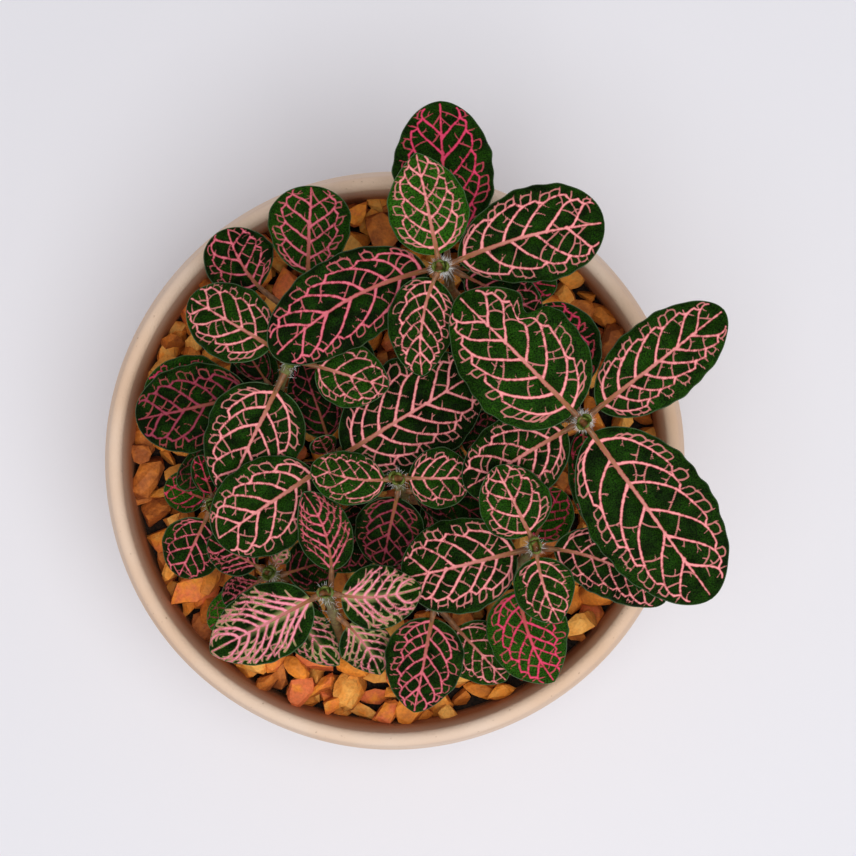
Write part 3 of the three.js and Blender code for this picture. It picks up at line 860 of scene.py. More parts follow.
# ---- leaf materials -----------------------------------------------------------------------------
def leaf_face(look, vein_colour, feather):
    """Upper face: pebbled green with painted glints, a net of pink or red veins with rough edges, and a thin
    pale margin of painted sheen.
    """

    def paint(tree, place):
        vein, twig, midrib, rim, along, fresh = (
            node(tree, "ShaderNodeAttribute", out="Fac", attribute_name=name)
            for name in ("vein", "twig", "midrib", "rim", "along", "fresh")
        )
        ragged, cloud, cells = (
            node(tree, "ShaderNodeTexNoise", {"Vector": place, "Scale": 1 / (size * MM), "Detail": detail})
            for size, detail in ((0.9, 2.0), (4, 3.0), (0.3, 3.0))
        )

        # Green by the leaf's age, cloudy, with fine light and dark speckles: grain, with painted glints and
        # painted shade on the pebbled cells
        shade = node(tree, "ShaderNodeMapRange", {"Value": cloud, 1: 0.35, 2: 0.65, 3: -0.12, 4: 0.2})
        age = node(tree, "ShaderNodeMath", {0: fresh, 1: 1.6}, operation="POWER")
        age = node(tree, "ShaderNodeMath", {0: age, 1: shade}, operation="ADD", use_clamp=True)
        green = node(tree, "ShaderNodeMix", {0: age, 6: look.old_green, 7: look.young_green}, **COLOUR_MIX)
        grain_and_glint = node(tree, "ShaderNodeMapRange", {"Value": cells, 1: 0.34, 2: 0.66, 3: 0.2, 4: 1.85})
        green = node(tree, "ShaderNodeVectorMath", {0: green, "Scale": grain_and_glint}, operation="SCALE")

        # Veins: distance inside the vein with a ragged edge
        rough = node(tree, "ShaderNodeMapRange", {"Value": ragged, 1: 0.3, 2: 0.7, 3: -0.09, 4: 0.09})
        main = node(tree, "ShaderNodeMath", {0: vein, 1: rough}, operation="ADD")
        thin = node(tree, "ShaderNodeMath", {0: rough, 1: 0.4, 2: twig}, operation="MULTIPLY_ADD")
        is_main = node(tree, "ShaderNodeMapRange", {"Value": main, 1: -0.1, 2: 0.1})
        is_thin = node(tree, "ShaderNodeMapRange", {"Value": thin, 1: -0.08, 2: 0.04, 3: 0.0, 4: 0.88})
        # Vein edges darker and cores paler: partly the veins' own colour, partly painted shading and
        # highlight that round them
        deep = (vein_colour[0] * 0.62, vein_colour[1] * 0.34, vein_colour[2] * 0.38, 1.0)
        dull = tuple(0.52 * v + 0.48 * g for v, g in zip(vein_colour, linear("#9A4A34")))
        core = node(tree, "ShaderNodeMath", {0: cells, 1: 0.3, 2: main}, operation="MULTIPLY_ADD")
        core = node(tree, "ShaderNodeMapRange", {"Value": core, 1: 0.12, 2: 0.33})
        pink = node(tree, "ShaderNodeMix", {0: core, 6: deep, 7: tuple(vein_colour)}, **COLOUR_MIX)
        base = green
        if feather:
            # Lime runs in patches along each vein, and bleeds out of the midrib's lower part
            nearest = node(tree, "ShaderNodeMath", {0: vein, 1: twig}, operation="MAXIMUM")
            halo = node(tree, "ShaderNodeMapRange", {"Value": nearest, 1: -0.2, 2: -0.06, 3: 0.0, 4: 0.62})
            patch = node(tree, "ShaderNodeMapRange", {"Value": cloud, 1: 0.4, 2: 0.6, 3: 0.1, 4: 1.0})
            halo = node(tree, "ShaderNodeMath", {0: halo, 1: patch}, operation="MULTIPLY")
            lime = tuple(look.lime)
            base = node(tree, "ShaderNodeMix", {0: halo, 6: base, 7: lime}, **COLOUR_MIX)
            glow = node(tree, "ShaderNodeMapRange", {"Value": midrib, 1: -1.0, 2: 0.1, 3: 0.0, 4: 0.7})
            basal = node(tree, "ShaderNodeMapRange", {"Value": along, 1: 0.75, 2: 0.2})
            glow = node(tree, "ShaderNodeMath", {0: glow, 1: basal}, operation="MULTIPLY")
            base = node(tree, "ShaderNodeMix", {0: glow, 6: base, 7: lime}, **COLOUR_MIX)
        base = node(tree, "ShaderNodeMix", {0: is_thin, 6: base, 7: dull}, **COLOUR_MIX)
        base = node(tree, "ShaderNodeMix", {0: is_main, 6: base, 7: pink}, **COLOUR_MIX)

        # The midrib is duller than the side veins, and brown like the stalk at its foot
        low = node(tree, "ShaderNodeMapRange", {"Value": along, 1: 0.7, 2: 0.02, 3: 0.08, 4: 1.0})
        near = node(tree, "ShaderNodeMapRange", {"Value": midrib, 1: -0.08, 2: 0.12})
        brown = node(tree, "ShaderNodeMath", {0: low, 1: near}, operation="MULTIPLY")
        stalk = tuple(look.stalk)
        base = node(tree, "ShaderNodeMix", {0: brown, 6: base, 7: stalk}, **COLOUR_MIX)

        # Painted sheen: a thin pale line where the blade's edge turns over
        margin_sheen = node(tree, "ShaderNodeMapRange", {"Value": rim, 1: 0.26, 2: 0.08, 3: 0.0, 4: 0.6})
        base = node(tree, "ShaderNodeMix", {0: margin_sheen, 6: base, 7: tuple(look.margin)}, **COLOUR_MIX)

        # Pebbled skin with grains about 0.3 mm across, and smooth main veins
        rest = node(tree, "ShaderNodeMath", {0: 1.0, 1: is_main}, operation="SUBTRACT")
        height = node(tree, "ShaderNodeMath", {0: cells, 1: rest}, operation="MULTIPLY")
        normal = node(tree, "ShaderNodeBump", {"Height": height, "Distance": 0.2 * MM, "Strength": 1.0})
        return base, normal

    return paint


def leaf_back(look, vein_colour):
    """Lower face: dull grey-green, with the main veins as faint raised lines, tinted like the upper ones."""

    def paint(tree, place):
        vein = node(tree, "ShaderNodeAttribute", out="Fac", attribute_name="vein")
        cloud = node(tree, "ShaderNodeTexNoise", {"Vector": place, "Scale": 1 / (3 * MM), "Detail": 3.0})
        line = node(tree, "ShaderNodeMapRange", {"Value": vein, 1: -0.25, 2: 0.2, 3: 0.0, 4: 0.6})
        pale = tuple(look.underside)
        dark = tuple(c * 0.55 for c in pale[:3]) + (1.0,)
        base = node(tree, "ShaderNodeMix", {0: cloud, 6: dark, 7: pale}, **COLOUR_MIX)
        pink = tuple(0.5 * v + 0.5 * p for v, p in zip(vein_colour, pale))
        base = node(tree, "ShaderNodeMix", {0: line, 6: base, 7: pink}, **COLOUR_MIX)
        normal = node(tree, "ShaderNodeBump", {"Height": line, "Distance": 0.15 * MM, "Strength": 1.0})
        return base, normal

    return paint


def soft_skin(first, second):
    """Stalks and stems: soft brown skin in small blotches, greener toward the far end."""

    def paint(tree, place):
        along = node(tree, "ShaderNodeAttribute", out="Fac", attribute_name="along")
        streak = node(tree, "ShaderNodeTexNoise", {"Vector": place, "Scale": 1 / (1.1 * MM), "Detail": 3.0})
        share = node(tree, "ShaderNodeMath", {0: streak, 1: along}, operation="MULTIPLY")
        spread = node(tree, "ShaderNodeMapRange", {"Value": share, 1: 0.1, 2: 0.6})
        base = node(tree, "ShaderNodeMix", {0: spread, 6: tuple(first), 7: tuple(second)}, **COLOUR_MIX)
        dark = node(tree, "ShaderNodeMapRange", {"Value": streak, 1: 0.35, 2: 0.65, 3: 0.55, 4: 1.1})
        base = node(tree, "ShaderNodeVectorMath", {0: base, "Scale": dark}, operation="SCALE")
        normal = node(tree, "ShaderNodeBump", {"Height": streak, "Distance": 0.15 * MM, "Strength": 0.8})
        return base, normal

    return paint


# ---- the bowl -----------------------------------------------------------------------------------
BOWL_HEIGHT = 62.0
LIP_RADIUS, LIP_ROUND = 63.3, 1.6
BELLY_RADIUS, BELLY_HEIGHT = 67.0, 48.0
FOOT_RADIUS, FOOT_HEIGHT = 41.0, 3.0
WALL, FLOOR = 6.5, 7.0
GRAVEL_BOTTOM, GRAVEL_TOP = 45.0, 50.0
STONE_SHAPES = 12


def bowl_profile():
    """Radius, height and how far inside the mouth, from the foot over the lip to the floor."""
    turn = np.linspace(np.pi / 2, 0, 64)
    reach = BELLY_RADIUS - FOOT_RADIUS
    rise = BELLY_HEIGHT - (BELLY_HEIGHT - FOOT_HEIGHT) * np.sin(turn)
    outside = np.column_stack([FOOT_RADIUS + reach * np.cos(turn), rise])
    inner, floor_radius = BELLY_RADIUS - WALL, FOOT_RADIUS - 3
    rise = BELLY_HEIGHT - (BELLY_HEIGHT - FLOOR) * np.sin(turn)
    inside = np.column_stack([floor_radius + (inner - floor_radius) * np.cos(turn), rise])[::-1][::2]
    lip_height = BOWL_HEIGHT - LIP_ROUND
    share = np.linspace(0, 1, 16)[1:-1]
    radius = BELLY_RADIUS + (LIP_RADIUS + LIP_ROUND - BELLY_RADIUS) * share**1.7
    shoulder = np.column_stack([radius, BELLY_HEIGHT + (lip_height - BELLY_HEIGHT) * share])
    over = np.linspace(0, np.pi, 14)
    lip = np.column_stack([LIP_RADIUS + LIP_ROUND * np.cos(over), lip_height + LIP_ROUND * np.sin(over)])
    share = np.linspace(0, 1, 22)[1:-1]
    radius = LIP_RADIUS - LIP_ROUND + (inner - LIP_RADIUS + LIP_ROUND) * share**0.8
    throat = np.column_stack([radius, lip_height + (BELLY_HEIGHT - lip_height) * share])
    foot = np.array([[FOOT_RADIUS - 1.2, 0.0], [FOOT_RADIUS - 0.3, 0.35], [FOOT_RADIUS, 1.2]])
    ring = [[FOOT_RADIUS - back, height] for back, height in ((7, 1.0), (5, 0.9), (4.2, 0.2), (3.4, 0.0))]
    base = np.concatenate([ring, foot])
    profile = np.concatenate([base, outside, shoulder, lip, throat, inside])
    within = np.zeros(len(profile))
    start = len(base) + len(outside) + len(shoulder) + len(lip) // 2
    within[start:] = np.clip((BOWL_HEIGHT - profile[start:, 1]) / 12, 0, 1)
    return profile, within


def bowl_object(settings, materials):
    """The thrown bowl: finger lines that climb slowly, a slightly uneven lip and a turned foot ring."""
    profile, within = bowl_profile()
    around = 256  # columns of faces round the bowl
    angle = np.linspace(0, 2 * np.pi, around, endpoint=False)
    radius = profile[:, 0][:, None]
    height = profile[:, 1][:, None]
    groove = settings.groove / MM
    phase = 2 * np.pi * height / groove + angle[None] + 0.5 * np.sin(angle[None] * 2)
    uneven = 0.6 + 0.4 * np.sin(height * 0.9 + 1.3)
    on_wall = np.clip((height - 5) / 6, 0, 1) * np.clip(LIP_RADIUS + 8 - radius, 0, 1)
    lines = settings.groove_depth / MM * np.sin(phase) * uneven * on_wall
    wander = 0.16 * np.sin(2 * angle + 0.6) + 0.09 * np.sin(3 * angle + 2.0) + 0.05 * np.sin(7 * angle)
    radius = radius - np.abs(lines) * 0.6 + lines * 0.2 - 0.2
    radius = radius + wander[None] * np.clip(height / BOWL_HEIGHT, 0, 1)
    lift = 0.14 * (np.sin(2 * angle + 1.9) - 1) * np.clip((height - 50) / 12, 0, 1)
    points = np.stack([radius * np.cos(angle), radius * np.sin(angle), height + lift], -1)
    rows = len(profile)
    index = np.arange(rows * around).reshape(rows, around)
    after = np.roll(index, -1, axis=1)
    quads = np.stack([index[:-1], after[:-1], after[1:], index[1:]], -1).reshape(-1, 4)
    points = np.concatenate([points.reshape(-1, 3), [[0, 0, 1.0], [0, 0, FLOOR]]])
    under, floor = rows * around, rows * around + 1
    faces = quads.tolist()
    faces += [(int(b), int(a), under) for a, b in zip(index[0], after[0])]
    faces += [(int(a), int(b), floor) for a, b in zip(index[-1], after[-1])]
    made = mesh_object("stoneware_bowl", points, faces, materials)
    store(made, "within", np.concatenate([np.repeat(within, around), [0.0, 1.0]]))
    return made


def stoneware(settings):
    """Unglazed stoneware: matt buff clay, paler in broad clouds, with fine iron specks, and an inner wall
    that darkens toward the stones with a water stain and painted shade.
    """

    def paint(tree, place):
        within = node(tree, "ShaderNodeAttribute", out="Fac", attribute_name="within")
        broad = node(tree, "ShaderNodeTexNoise", {"Vector": place, "Scale": 1 / (45 * MM), "Detail": 4.0})
        wide = node(tree, "ShaderNodeVectorMath", {0: place, 1: (0.12, 0.12, 1.0)}, operation="MULTIPLY")
        bands = node(tree, "ShaderNodeTexNoise", {"Vector": wide, "Scale": 1 / (2.2 * MM), "Detail": 3.0})
        grit = node(tree, "ShaderNodeTexNoise", {"Vector": place, "Scale": 1 / (0.7 * MM), "Detail": 3.0})
        dots = node(tree, "ShaderNodeTexVoronoi", {"Vector": place, "Scale": 1 / (1.9 * MM)}, out="Distance")
        spread = node(tree, "ShaderNodeMapRange", {"Value": broad, 1: 0.3, 2: 0.6, 3: 0.35, 4: 1.0})
        tint = tuple(settings.clay), tuple(settings.pale_clay), tuple(settings.stain_and_shade_clay)
        base = node(tree, "ShaderNodeMix", {0: spread, 6: tint[0], 7: tint[1]}, **COLOUR_MIX)
        band = node(tree, "ShaderNodeMapRange", {"Value": bands, 1: 0.3, 2: 0.7, 3: 0.0, 4: 0.35})
        base = node(tree, "ShaderNodeMix", {0: band, 6: base, 7: tint[0]}, **COLOUR_MIX)
        # Specks up to 0.6 mm across, gathered here and there
        speck = node(tree, "ShaderNodeMapRange", {"Value": dots, 1: 0.17, 2: 0.06, 3: 0.0, 4: 0.6})
        gather = node(tree, "ShaderNodeMapRange", {"Value": grit, 1: 0.5, 2: 0.6})
        speck = node(tree, "ShaderNodeMath", {0: speck, 1: gather}, operation="MULTIPLY")
        dark = tuple(settings.speck)
        base = node(tree, "ShaderNodeMix", {0: speck, 6: base, 7: dark}, **COLOUR_MIX)
        # Water stain with painted shade and painted orange bounce light from the gravel, deepening toward the
        # stones
        stain_and_shade = node(tree, "ShaderNodeMath", {0: broad, 1: 0.5, 2: -0.25}, operation="MULTIPLY_ADD")
        stain_and_shade = node(tree, "ShaderNodeMath", {0: stain_and_shade, 1: within}, operation="ADD")
        stain_and_shade = node(tree, "ShaderNodeMapRange", {"Value": stain_and_shade, 1: 0.0, 2: 0.8, 3: 0.0, 4: 0.9})
        base = node(tree, "ShaderNodeMix", {0: stain_and_shade, 6: base, 7: tint[2]}, **COLOUR_MIX)
        rough = node(tree, "ShaderNodeMath", {0: grit, 1: speck}, operation="SUBTRACT")
        normal = node(tree, "ShaderNodeBump", {"Height": rough, "Distance": 0.16 * MM, "Strength": 0.8})
        return base, normal

    return paint


# ---- the soil and the gravel --------------------------------------------------------------------
def potting_soil():
    """Damp peat: near black and crumbly, with lighter bits, crumbs about 2 mm across."""

    def paint(tree, place):
        crumbs = node(tree, "ShaderNodeTexVoronoi", {"Vector": place, "Scale": 1 / (2 * MM)}, out="Distance")
        fine = node(tree, "ShaderNodeTexNoise", {"Vector": place, "Scale": 1 / (0.8 * MM), "Detail": 4.0})
        share = node(tree, "ShaderNodeMapRange", {"Value": fine, 1: 0.35, 2: 0.7})
        pair = {0: share, 6: linear("#0E0805"), 7: linear("#3A2618")}
        base = node(tree, "ShaderNodeMix", pair, **COLOUR_MIX)
        height = node(tree, "ShaderNodeMath", {0: fine, 1: crumbs}, operation="SUBTRACT")
        normal = node(tree, "ShaderNodeBump", {"Height": height, "Distance": 0.8 * MM, "Strength": 1.0})
        return base, normal

    return paint


def broken_stone(settings):
    """Ochre gravel: broken faces from sand to rust, cloudy and dusty, with pits, and painted shade on
    sideways faces and on the lower layer.
    """

    def paint(tree, place):
        tone = node(tree, "ShaderNodeAttribute", out="Fac", attribute_name="tone")
        cloud, grain = (
            node(tree, "ShaderNodeTexNoise", {"Vector": place, "Scale": 1 / (size * MM), "Detail": detail})
            for size, detail in ((3.2, 4.0), (0.7, 3.0))
        )
        ramp = tree.nodes.new("ShaderNodeValToRGB")
        stops = (
            (0.0, settings.brown),
            (0.14, linear("#D27A2C")),
            (0.42, settings.ochre),
            (0.72, settings.sand),
            (0.86, settings.ochre),
            (1.0, settings.salmon),
        )
        while len(ramp.color_ramp.elements) < len(stops):
            ramp.color_ramp.elements.new(0.5)
        for element, (at, value) in zip(ramp.color_ramp.elements, stops):
            element.position = at
            element.color = tuple(value)
        shift = node(tree, "ShaderNodeMath", {0: cloud, 1: 0.6, 2: -0.27}, operation="MULTIPLY_ADD")
        at = node(tree, "ShaderNodeMath", {0: tone, 1: shift}, operation="ADD", use_clamp=True)
        tree.links.new(at, ramp.inputs[0])
        dust = node(tree, "ShaderNodeMapRange", {"Value": grain, 1: 0.35, 2: 0.65, 3: 0.88, 4: 1.1})
        base = node(tree, "ShaderNodeVectorMath", {0: ramp.outputs[0], "Scale": dust}, operation="SCALE")
        # Painted shade: sideways faces and the stones of the lower layer are darkened as if lit from above
        lit_share = node(tree, "ShaderNodeAttribute", out="Fac", attribute_name="lit_share")
        pair = {0: lit_share, 6: (0.48, 0.34, 0.22, 1.0), 7: (1.0, 0.97, 0.92, 1.0)}
        sideways_shade_tint = node(tree, "ShaderNodeMix", pair, **COLOUR_MIX)
        base = node(tree, "ShaderNodeVectorMath", {0: base, 1: sideways_shade_tint}, operation="MULTIPLY")
        height = node(tree, "ShaderNodeMath", {0: grain, 1: 0.35, 2: cloud}, operation="MULTIPLY_ADD")
        normal = node(tree, "ShaderNodeBump", {"Height": height, "Distance": 0.7 * MM, "Strength": 0.9})
        return base, normal

    return paint


def stone_shape(name, pick):
    """A broken stone about 1 m long, which is scaled down where it is set."""
    mesh = bmesh.new()
    bmesh.ops.create_icosphere(mesh, subdivisions=2, radius=0.62)
    for _ in range(10):
        out = unit(pick.normal(size=3))
        limit = pick.uniform(0.24, 0.5)
        for corner in mesh.verts:
            over = float(np.dot(out, corner.co)) - limit
            if over > 0:
                corner.co -= type(corner.co)(out * over)
    lean = pick.uniform(-0.25, 0.25)
    squash = (pick.uniform(1.0, 1.3), pick.uniform(0.7, 0.95), pick.uniform(0.6, 0.85))
    for corner in mesh.verts:
        corner.co.x += lean * corner.co.y
        corner.co = [value * share for value, share in zip(corner.co, squash)]
    bmesh.ops.recalc_face_normals(mesh, faces=mesh.faces)
    data = bpy.data.meshes.new(name)
    mesh.to_mesh(data)
    mesh.free()
    data.shade_smooth()
    data.set_sharp_from_angle(angle=math.radians(16))
    return bpy.data.objects.new(name, data)


def scatter_tree():
    """Geometry nodes that set shapes from a collection on points, by the points' own attributes."""
    tree = bpy.data.node_groups.new("Set shapes on points", "GeometryNodeTree")
    sockets = (
        ("Geometry", "NodeSocketGeometry"),
        ("Shapes", "NodeSocketCollection"),
        ("Smallest", "NodeSocketFloat"),
        ("Largest", "NodeSocketFloat"),
        ("Material", "NodeSocketMaterial"),
    )
    for name, kind in sockets:
        tree.interface.new_socket(name, in_out="INPUT", socket_type=kind)
    tree.interface.new_socket("Geometry", in_out="OUTPUT", socket_type="NodeSocketGeometry")
    given = tree.nodes.new("NodeGroupInput").outputs
    shapes = node(
        tree,
        "GeometryNodeCollectionInfo",
        {"Collection": given["Shapes"], "Separate Children": True, "Reset Children": True},
    )
    kinds = {"variant": "INT", "turn": "FLOAT_VECTOR", "stretch": "FLOAT_VECTOR", "share": "FLOAT"}
    variant, turn, stretch, share = (
        node(tree, "GeometryNodeInputNamedAttribute", {"Name": name}, data_type=kind)
        for name, kind in kinds.items()
    )
    size = node(tree, "ShaderNodeMapRange", {"Value": share, 3: given["Smallest"], 4: given["Largest"]})
    scale = node(tree, "ShaderNodeVectorMath", {0: stretch, "Scale": size}, operation="SCALE")
    rotation = node(tree, "FunctionNodeEulerToRotation", {0: turn})
    placed = node(
        tree,
        "GeometryNodeInstanceOnPoints",
        {
            "Points": given["Geometry"],
            "Instance": shapes,
            "Pick Instance": True,
            "Instance Index": variant,
            "Rotation": rotation,
            "Scale": scale,
        },
    )
    plain = node(tree, "GeometryNodeRealizeInstances", {"Geometry": placed})
    dressed = node(tree, "GeometryNodeSetMaterial", {"Geometry": plain, "Material": given["Material"]})
    node(tree, "NodeGroupOutput", {0: dressed})
    return tree


def scattered(name, shapes, points, attributes, smallest, largest, material):
    """A plain mesh of shapes set on points, through the scatter tree."""
    library = bpy.data.collections.new(name + "_shapes")
    for shape in shapes:
        library.objects.link(shape)
    source = mesh_object(name + "_points", points, [], [])
    for key, (kind, values) in attributes.items():
        layer = source.data.attributes.new(key, kind, "POINT")
        field = "vector" if kind == "FLOAT_VECTOR" else "value"
        number = np.int32 if kind == "INT" else np.float32
        layer.data.foreach_set(field, np.asarray(values, number).ravel())
    tree = scatter_tree()
    modifier = source.modifiers.new("Scatter", "NODES")
    modifier.node_group = tree
    values = {"Shapes": library, "Smallest": smallest, "Largest": largest, "Material": material}
    for item in tree.interface.items_tree:
        if item.in_out == "INPUT" and item.name in values:
            modifier[item.identifier] = values[item.name]
    made = evaluated(source, name)
    for shape in shapes:
        bpy.data.objects.remove(shape)
    bpy.data.collections.remove(library)
    bpy.data.node_groups.remove(tree)
    return made


def settle(pick, count, radii, limit, posts, rounds=160):
    """Pushes discs apart on a round bed, and off the posts, for a number of rounds."""
    turn = pick.uniform(0, 2 * np.pi, count)
    out = limit * np.sqrt(pick.uniform(0, 1, count))
    at = np.stack([out * np.cos(turn), out * np.sin(turn)], 1)
    for _ in range(rounds):
        gap = at[:, None] - at[None]
        away = np.linalg.norm(gap, axis=2) + 1e-6
        over = np.clip(radii[:, None] + radii[None] - away, 0, None)
        np.fill_diagonal(over, 0)
        at = at + (gap / away[..., None] * over[..., None]).sum(1) * 0.3
        for post in posts:
            gap = at - post
            away = np.linalg.norm(gap, axis=1) + 1e-6
            over = np.clip(radii + 1.6 - away, 0, None)
            at = at + gap / away[:, None] * over[:, None]
        away = np.linalg.norm(at, axis=1)
        room = limit - radii
        at = at * np.minimum(1, room / np.maximum(away, 1e-6))[:, None]
    return at


# ---- the shoots' stems --------------------------------------------------------------------------
def stem_path(root, *nodes):
    """A smooth line up through a shoot's nodes, with how far along it its points and the nodes are."""
    knots = [(*root, SOIL_TOP - 12), (*root, GRAVEL_TOP)] + [at for at, *_ in nodes]
    knots = np.array(knots, float)
    reach = distances(knots)
    slopes = np.gradient(knots, reach, axis=0)
    places = np.arange(0, reach[-1], 0.6)
    places = np.append(places, reach[-1])
    piece = np.clip(np.searchsorted(reach, places, side="right") - 1, 0, len(reach) - 2)
    span = (reach[piece + 1] - reach[piece])[:, None]
    u = (places - reach[piece])[:, None] / span
    leave, arrive = span * slopes[piece], span * slopes[piece + 1]
    line = between_points(u, knots[piece], leave, knots[piece + 1], arrive)
    return line, places, reach[2:]


def bud_scale(base, out, up, size):
    """A young leaf still folded against the bud, as a small closed pointed shell."""
    rows, columns = 10, 7
    points = []
    for row in range(rows):
        s = row / (rows - 1)
        wide = size * 0.36 * math.sin(math.pi * (0.12 + 0.84 * s)) ** 0.8
        spine = base + up * size * s + out * size * (0.16 + 0.34 * math.sin(math.pi * 0.75 * s))
        side = np.cross(up, out)
        for column in range(columns):
            across = -1 + 2 * column / (columns - 1)
            points.append(spine + side * wide * across - out * wide * 0.55 * across**2)
    points = np.array(points)
    thick = points - out * 0.28
    faces = []
    for row in range(rows - 1):
        for column in range(columns - 1):
            a = row * columns + column
            faces.append((a, a + 1, a + columns + 1, a + columns))
    total = len(points)
    faces += [tuple(total + i for i in reversed(face)) for face in faces]
    loop = list(range(columns))
    loop += [row * columns + columns - 1 for row in range(1, rows)]
    loop += [(rows - 1) * columns + column for column in range(columns - 2, -1, -1)]
    loop += [row * columns for row in range(rows - 2, 0, -1)]
    for a, b in zip(loop, loop[1:] + loop[:1]):
        faces.append((a, total + a, total + b, b))
    return np.concatenate([points, thick]), faces


def stem_object(name, shoot, materials, index):
    """A shoot's stem, swollen at its nodes, with the bud at its top."""
    line, places, nodes_at = stem_path(*shoot)
    radius = np.interp(places, [0, places[-1]], [STEM_RADIUS + 0.15, STEM_RADIUS - 0.25])
    for at in nodes_at:
        radius = radius + 0.32 * np.exp(-(((places - at) / 1.6) ** 2))
    radius[-3:] *= [0.8, 0.5, 0.15]  # rounds the tip off inside the bud
    sides = 14
    points, faces = tube(line, radius, sides)
    slots = [0] * len(faces)
    along = np.repeat(places / places[-1], sides)
    bottom = len(points)
    spin = index * 0.9
    # Two pairs of folded leaves and one in the middle: which way, how long and how far out
    half_turn, quarter = np.pi, np.pi / 2
    pairs = ((0.0, 3.2, 0.42), (half_turn, 2.9, 0.42), (quarter, 2.6, 0.22), (-quarter, 2.4, 0.22))
    for turn, size, away in (*pairs, (0.6, 2.3, 0.0)):
        out = np.array([math.cos(spin + turn), math.sin(spin + turn), 0.0])
        scale_points, scale_faces = bud_scale(line[-1] - UP * 0.5 + out * away, out, UP, size)
        faces += [tuple(bottom + int(i) for i in face) for face in scale_faces]
        slots += [1] * len(scale_faces)
        along = np.concatenate([along, np.linspace(0, 1, len(scale_points))])
        points = np.concatenate([points, scale_points])
        bottom = len(points)
    made = mesh_object(name, points, faces, materials, slots)
    store(made, "along", along)
    return made


def young_bud():
    """A folded young leaf: dull green with brown lines down it."""

    def paint(tree, place):
        flow = node(tree, "ShaderNodeVectorMath", {0: place, 1: (1.0, 1.0, 0.2)}, operation="MULTIPLY")
        rib = node(tree, "ShaderNodeTexNoise", {"Vector": flow, "Scale": 1 / (0.8 * MM), "Detail": 1.0})
        line = node(tree, "ShaderNodeMapRange", {"Value": rib, 1: 0.6, 2: 0.72})
        pair = {0: line, 6: linear("#5E6E22"), 7: linear("#8A6A3C")}
        base = node(tree, "ShaderNodeMix", pair, **COLOUR_MIX)
        return base, node(tree, "ShaderNodeBump", {"Height": rib, "Distance": 0.3 * MM, "Strength": 0.8})

    return paint


def plain_tint(first, second, size):
    """A pale surface that hardly varies, such as hair or laminate, in blotches of size millimetres."""

    def paint(tree, place):
        cloud = node(tree, "ShaderNodeTexNoise", {"Vector": place, "Scale": 1 / (size * MM), "Detail": 3.0})
        base = node(tree, "ShaderNodeMix", {0: cloud, 6: first, 7: second}, **COLOUR_MIX)
        normal = node(tree, "ShaderNodeBump", {"Height": cloud, "Distance": 0.02 * MM, "Strength": 0.3})
        return base, normal

    return paint


def hair_shape(name):
    """A tapering hair 1 m long on the Z axis, with four sides."""
    path = np.array([[0, 0, 0], [0, 0, 500.0], [0, 0, 1000.0]])
    points, faces = tube(path, [1000.0, 600.0, 120.0], 4)
    made = mesh_object(name, points, faces, [])
    bpy.context.collection.objects.unlink(made)
    return made


# ---- operators ----------------------------------------------------------------------------------
class NERVE_OT_bowl(Operator):
    """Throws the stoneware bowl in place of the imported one"""

    bl_idname = "nerve_plant.bowl"
    bl_label = "Bowl"

    def execute(self, context):
        settings = context.scene.nerve_bowl
        # Bisque stoneware is dull and dry to the eye, with only a broad soft sheen
        body = new_material("Unglazed stoneware", stoneware(settings), Roughness=0.82, IOR=1.5)
        finish_piece(bowl_object(settings, [body]), "stoneware", "bowl")
        return {"FINISHED"}


class NERVE_OT_bed(Operator):
    """Fills the bowl: dresses the packed soil and scatters the gravel over it"""

    bl_idname = "nerve_plant.bed"
    bl_label = "Soil and gravel"

    def execute(self, context):
        settings = context.scene.nerve_gravel
        soil = bpy.data.objects["soil"]
        # Damp peat drinks in light, and its crumbs only catch a dull glint
        peat = new_material("Potting soil", potting_soil(), Roughness=0.95)
        for slot in soil.material_slots:
            slot.material = peat
        pick = np.random.default_rng(settings.seed)
        smallest, largest = settings.smallest, settings.largest
        posts = [np.array(root, float) for root, *_ in SHOOTS.values()]
        limit = BELLY_RADIUS - WALL + 0.2
        low = int(settings.count * 0.6)
        high = settings.count - low
        share = pick.beta(1.6, 2.0, settings.count)
        length_mm = (smallest + (largest - smallest) * share) / MM
        under = settle(pick, low, length_mm[:low] * 0.42, limit, posts)
        over = settle(pick, high, length_mm[low:] * 0.47, limit + 0.6, posts)
        seat = GRAVEL_BOTTOM + length_mm * 0.34
        seat[low:] += 3.3 + pick.uniform(-0.5, 0.6, high)
        points = np.column_stack([np.concatenate([under, over]), seat])
        tilt = pick.uniform(-0.5, 0.5, (settings.count, 2))
        turn = np.column_stack([tilt, pick.uniform(0, 6.28, settings.count)])
        spans = ((0.95, 1.15), (0.8, 1.05), (0.75, 1.0))
        stretch = np.column_stack([pick.uniform(*span, settings.count) for span in spans])
        attributes = {
            "variant": ("INT", pick.integers(0, STONE_SHAPES, settings.count)),
            "turn": ("FLOAT_VECTOR", turn),
            "stretch": ("FLOAT_VECTOR", stretch),
            "share": ("FLOAT", share),
            "tone": ("FLOAT", pick.uniform(0, 1, settings.count)),
        }
        shapes = [stone_shape(f"stone_{number:02d}", pick) for number in range(STONE_SHAPES)]
        # Broken sandstone is matt and dusty all over
        stone = new_material("Crushed sandstone", broken_stone(settings), Roughness=0.74)
        made = scattered("gravel", shapes, points, attributes, smallest, largest, stone)
        # Painted shade: the faces that look sideways are darker, as if lit from above, and so are the stones
        # of the lower layer, under the upper one
        faces = made.data.polygons
        facing = np.empty(3 * len(faces), np.float32)
        middle = np.empty(3 * len(faces), np.float32)
        faces.foreach_get("normal", facing)
        faces.foreach_get("center", middle)
        lit_share = np.interp(facing[2::3], [0.05, 0.85], [0.0, 1.0])
        lit_share = lit_share * np.interp(middle[2::3] / MM - GRAVEL_BOTTOM, [1.5, 6.0], [0.4, 1.0])
        layer = made.data.attributes.new("lit_share", "FLOAT", "FACE")
        layer.data.foreach_set("value", lit_share.astype(np.float32))
        finish_piece(made, "gravel", "gravel_bed")
        return {"FINISHED"}


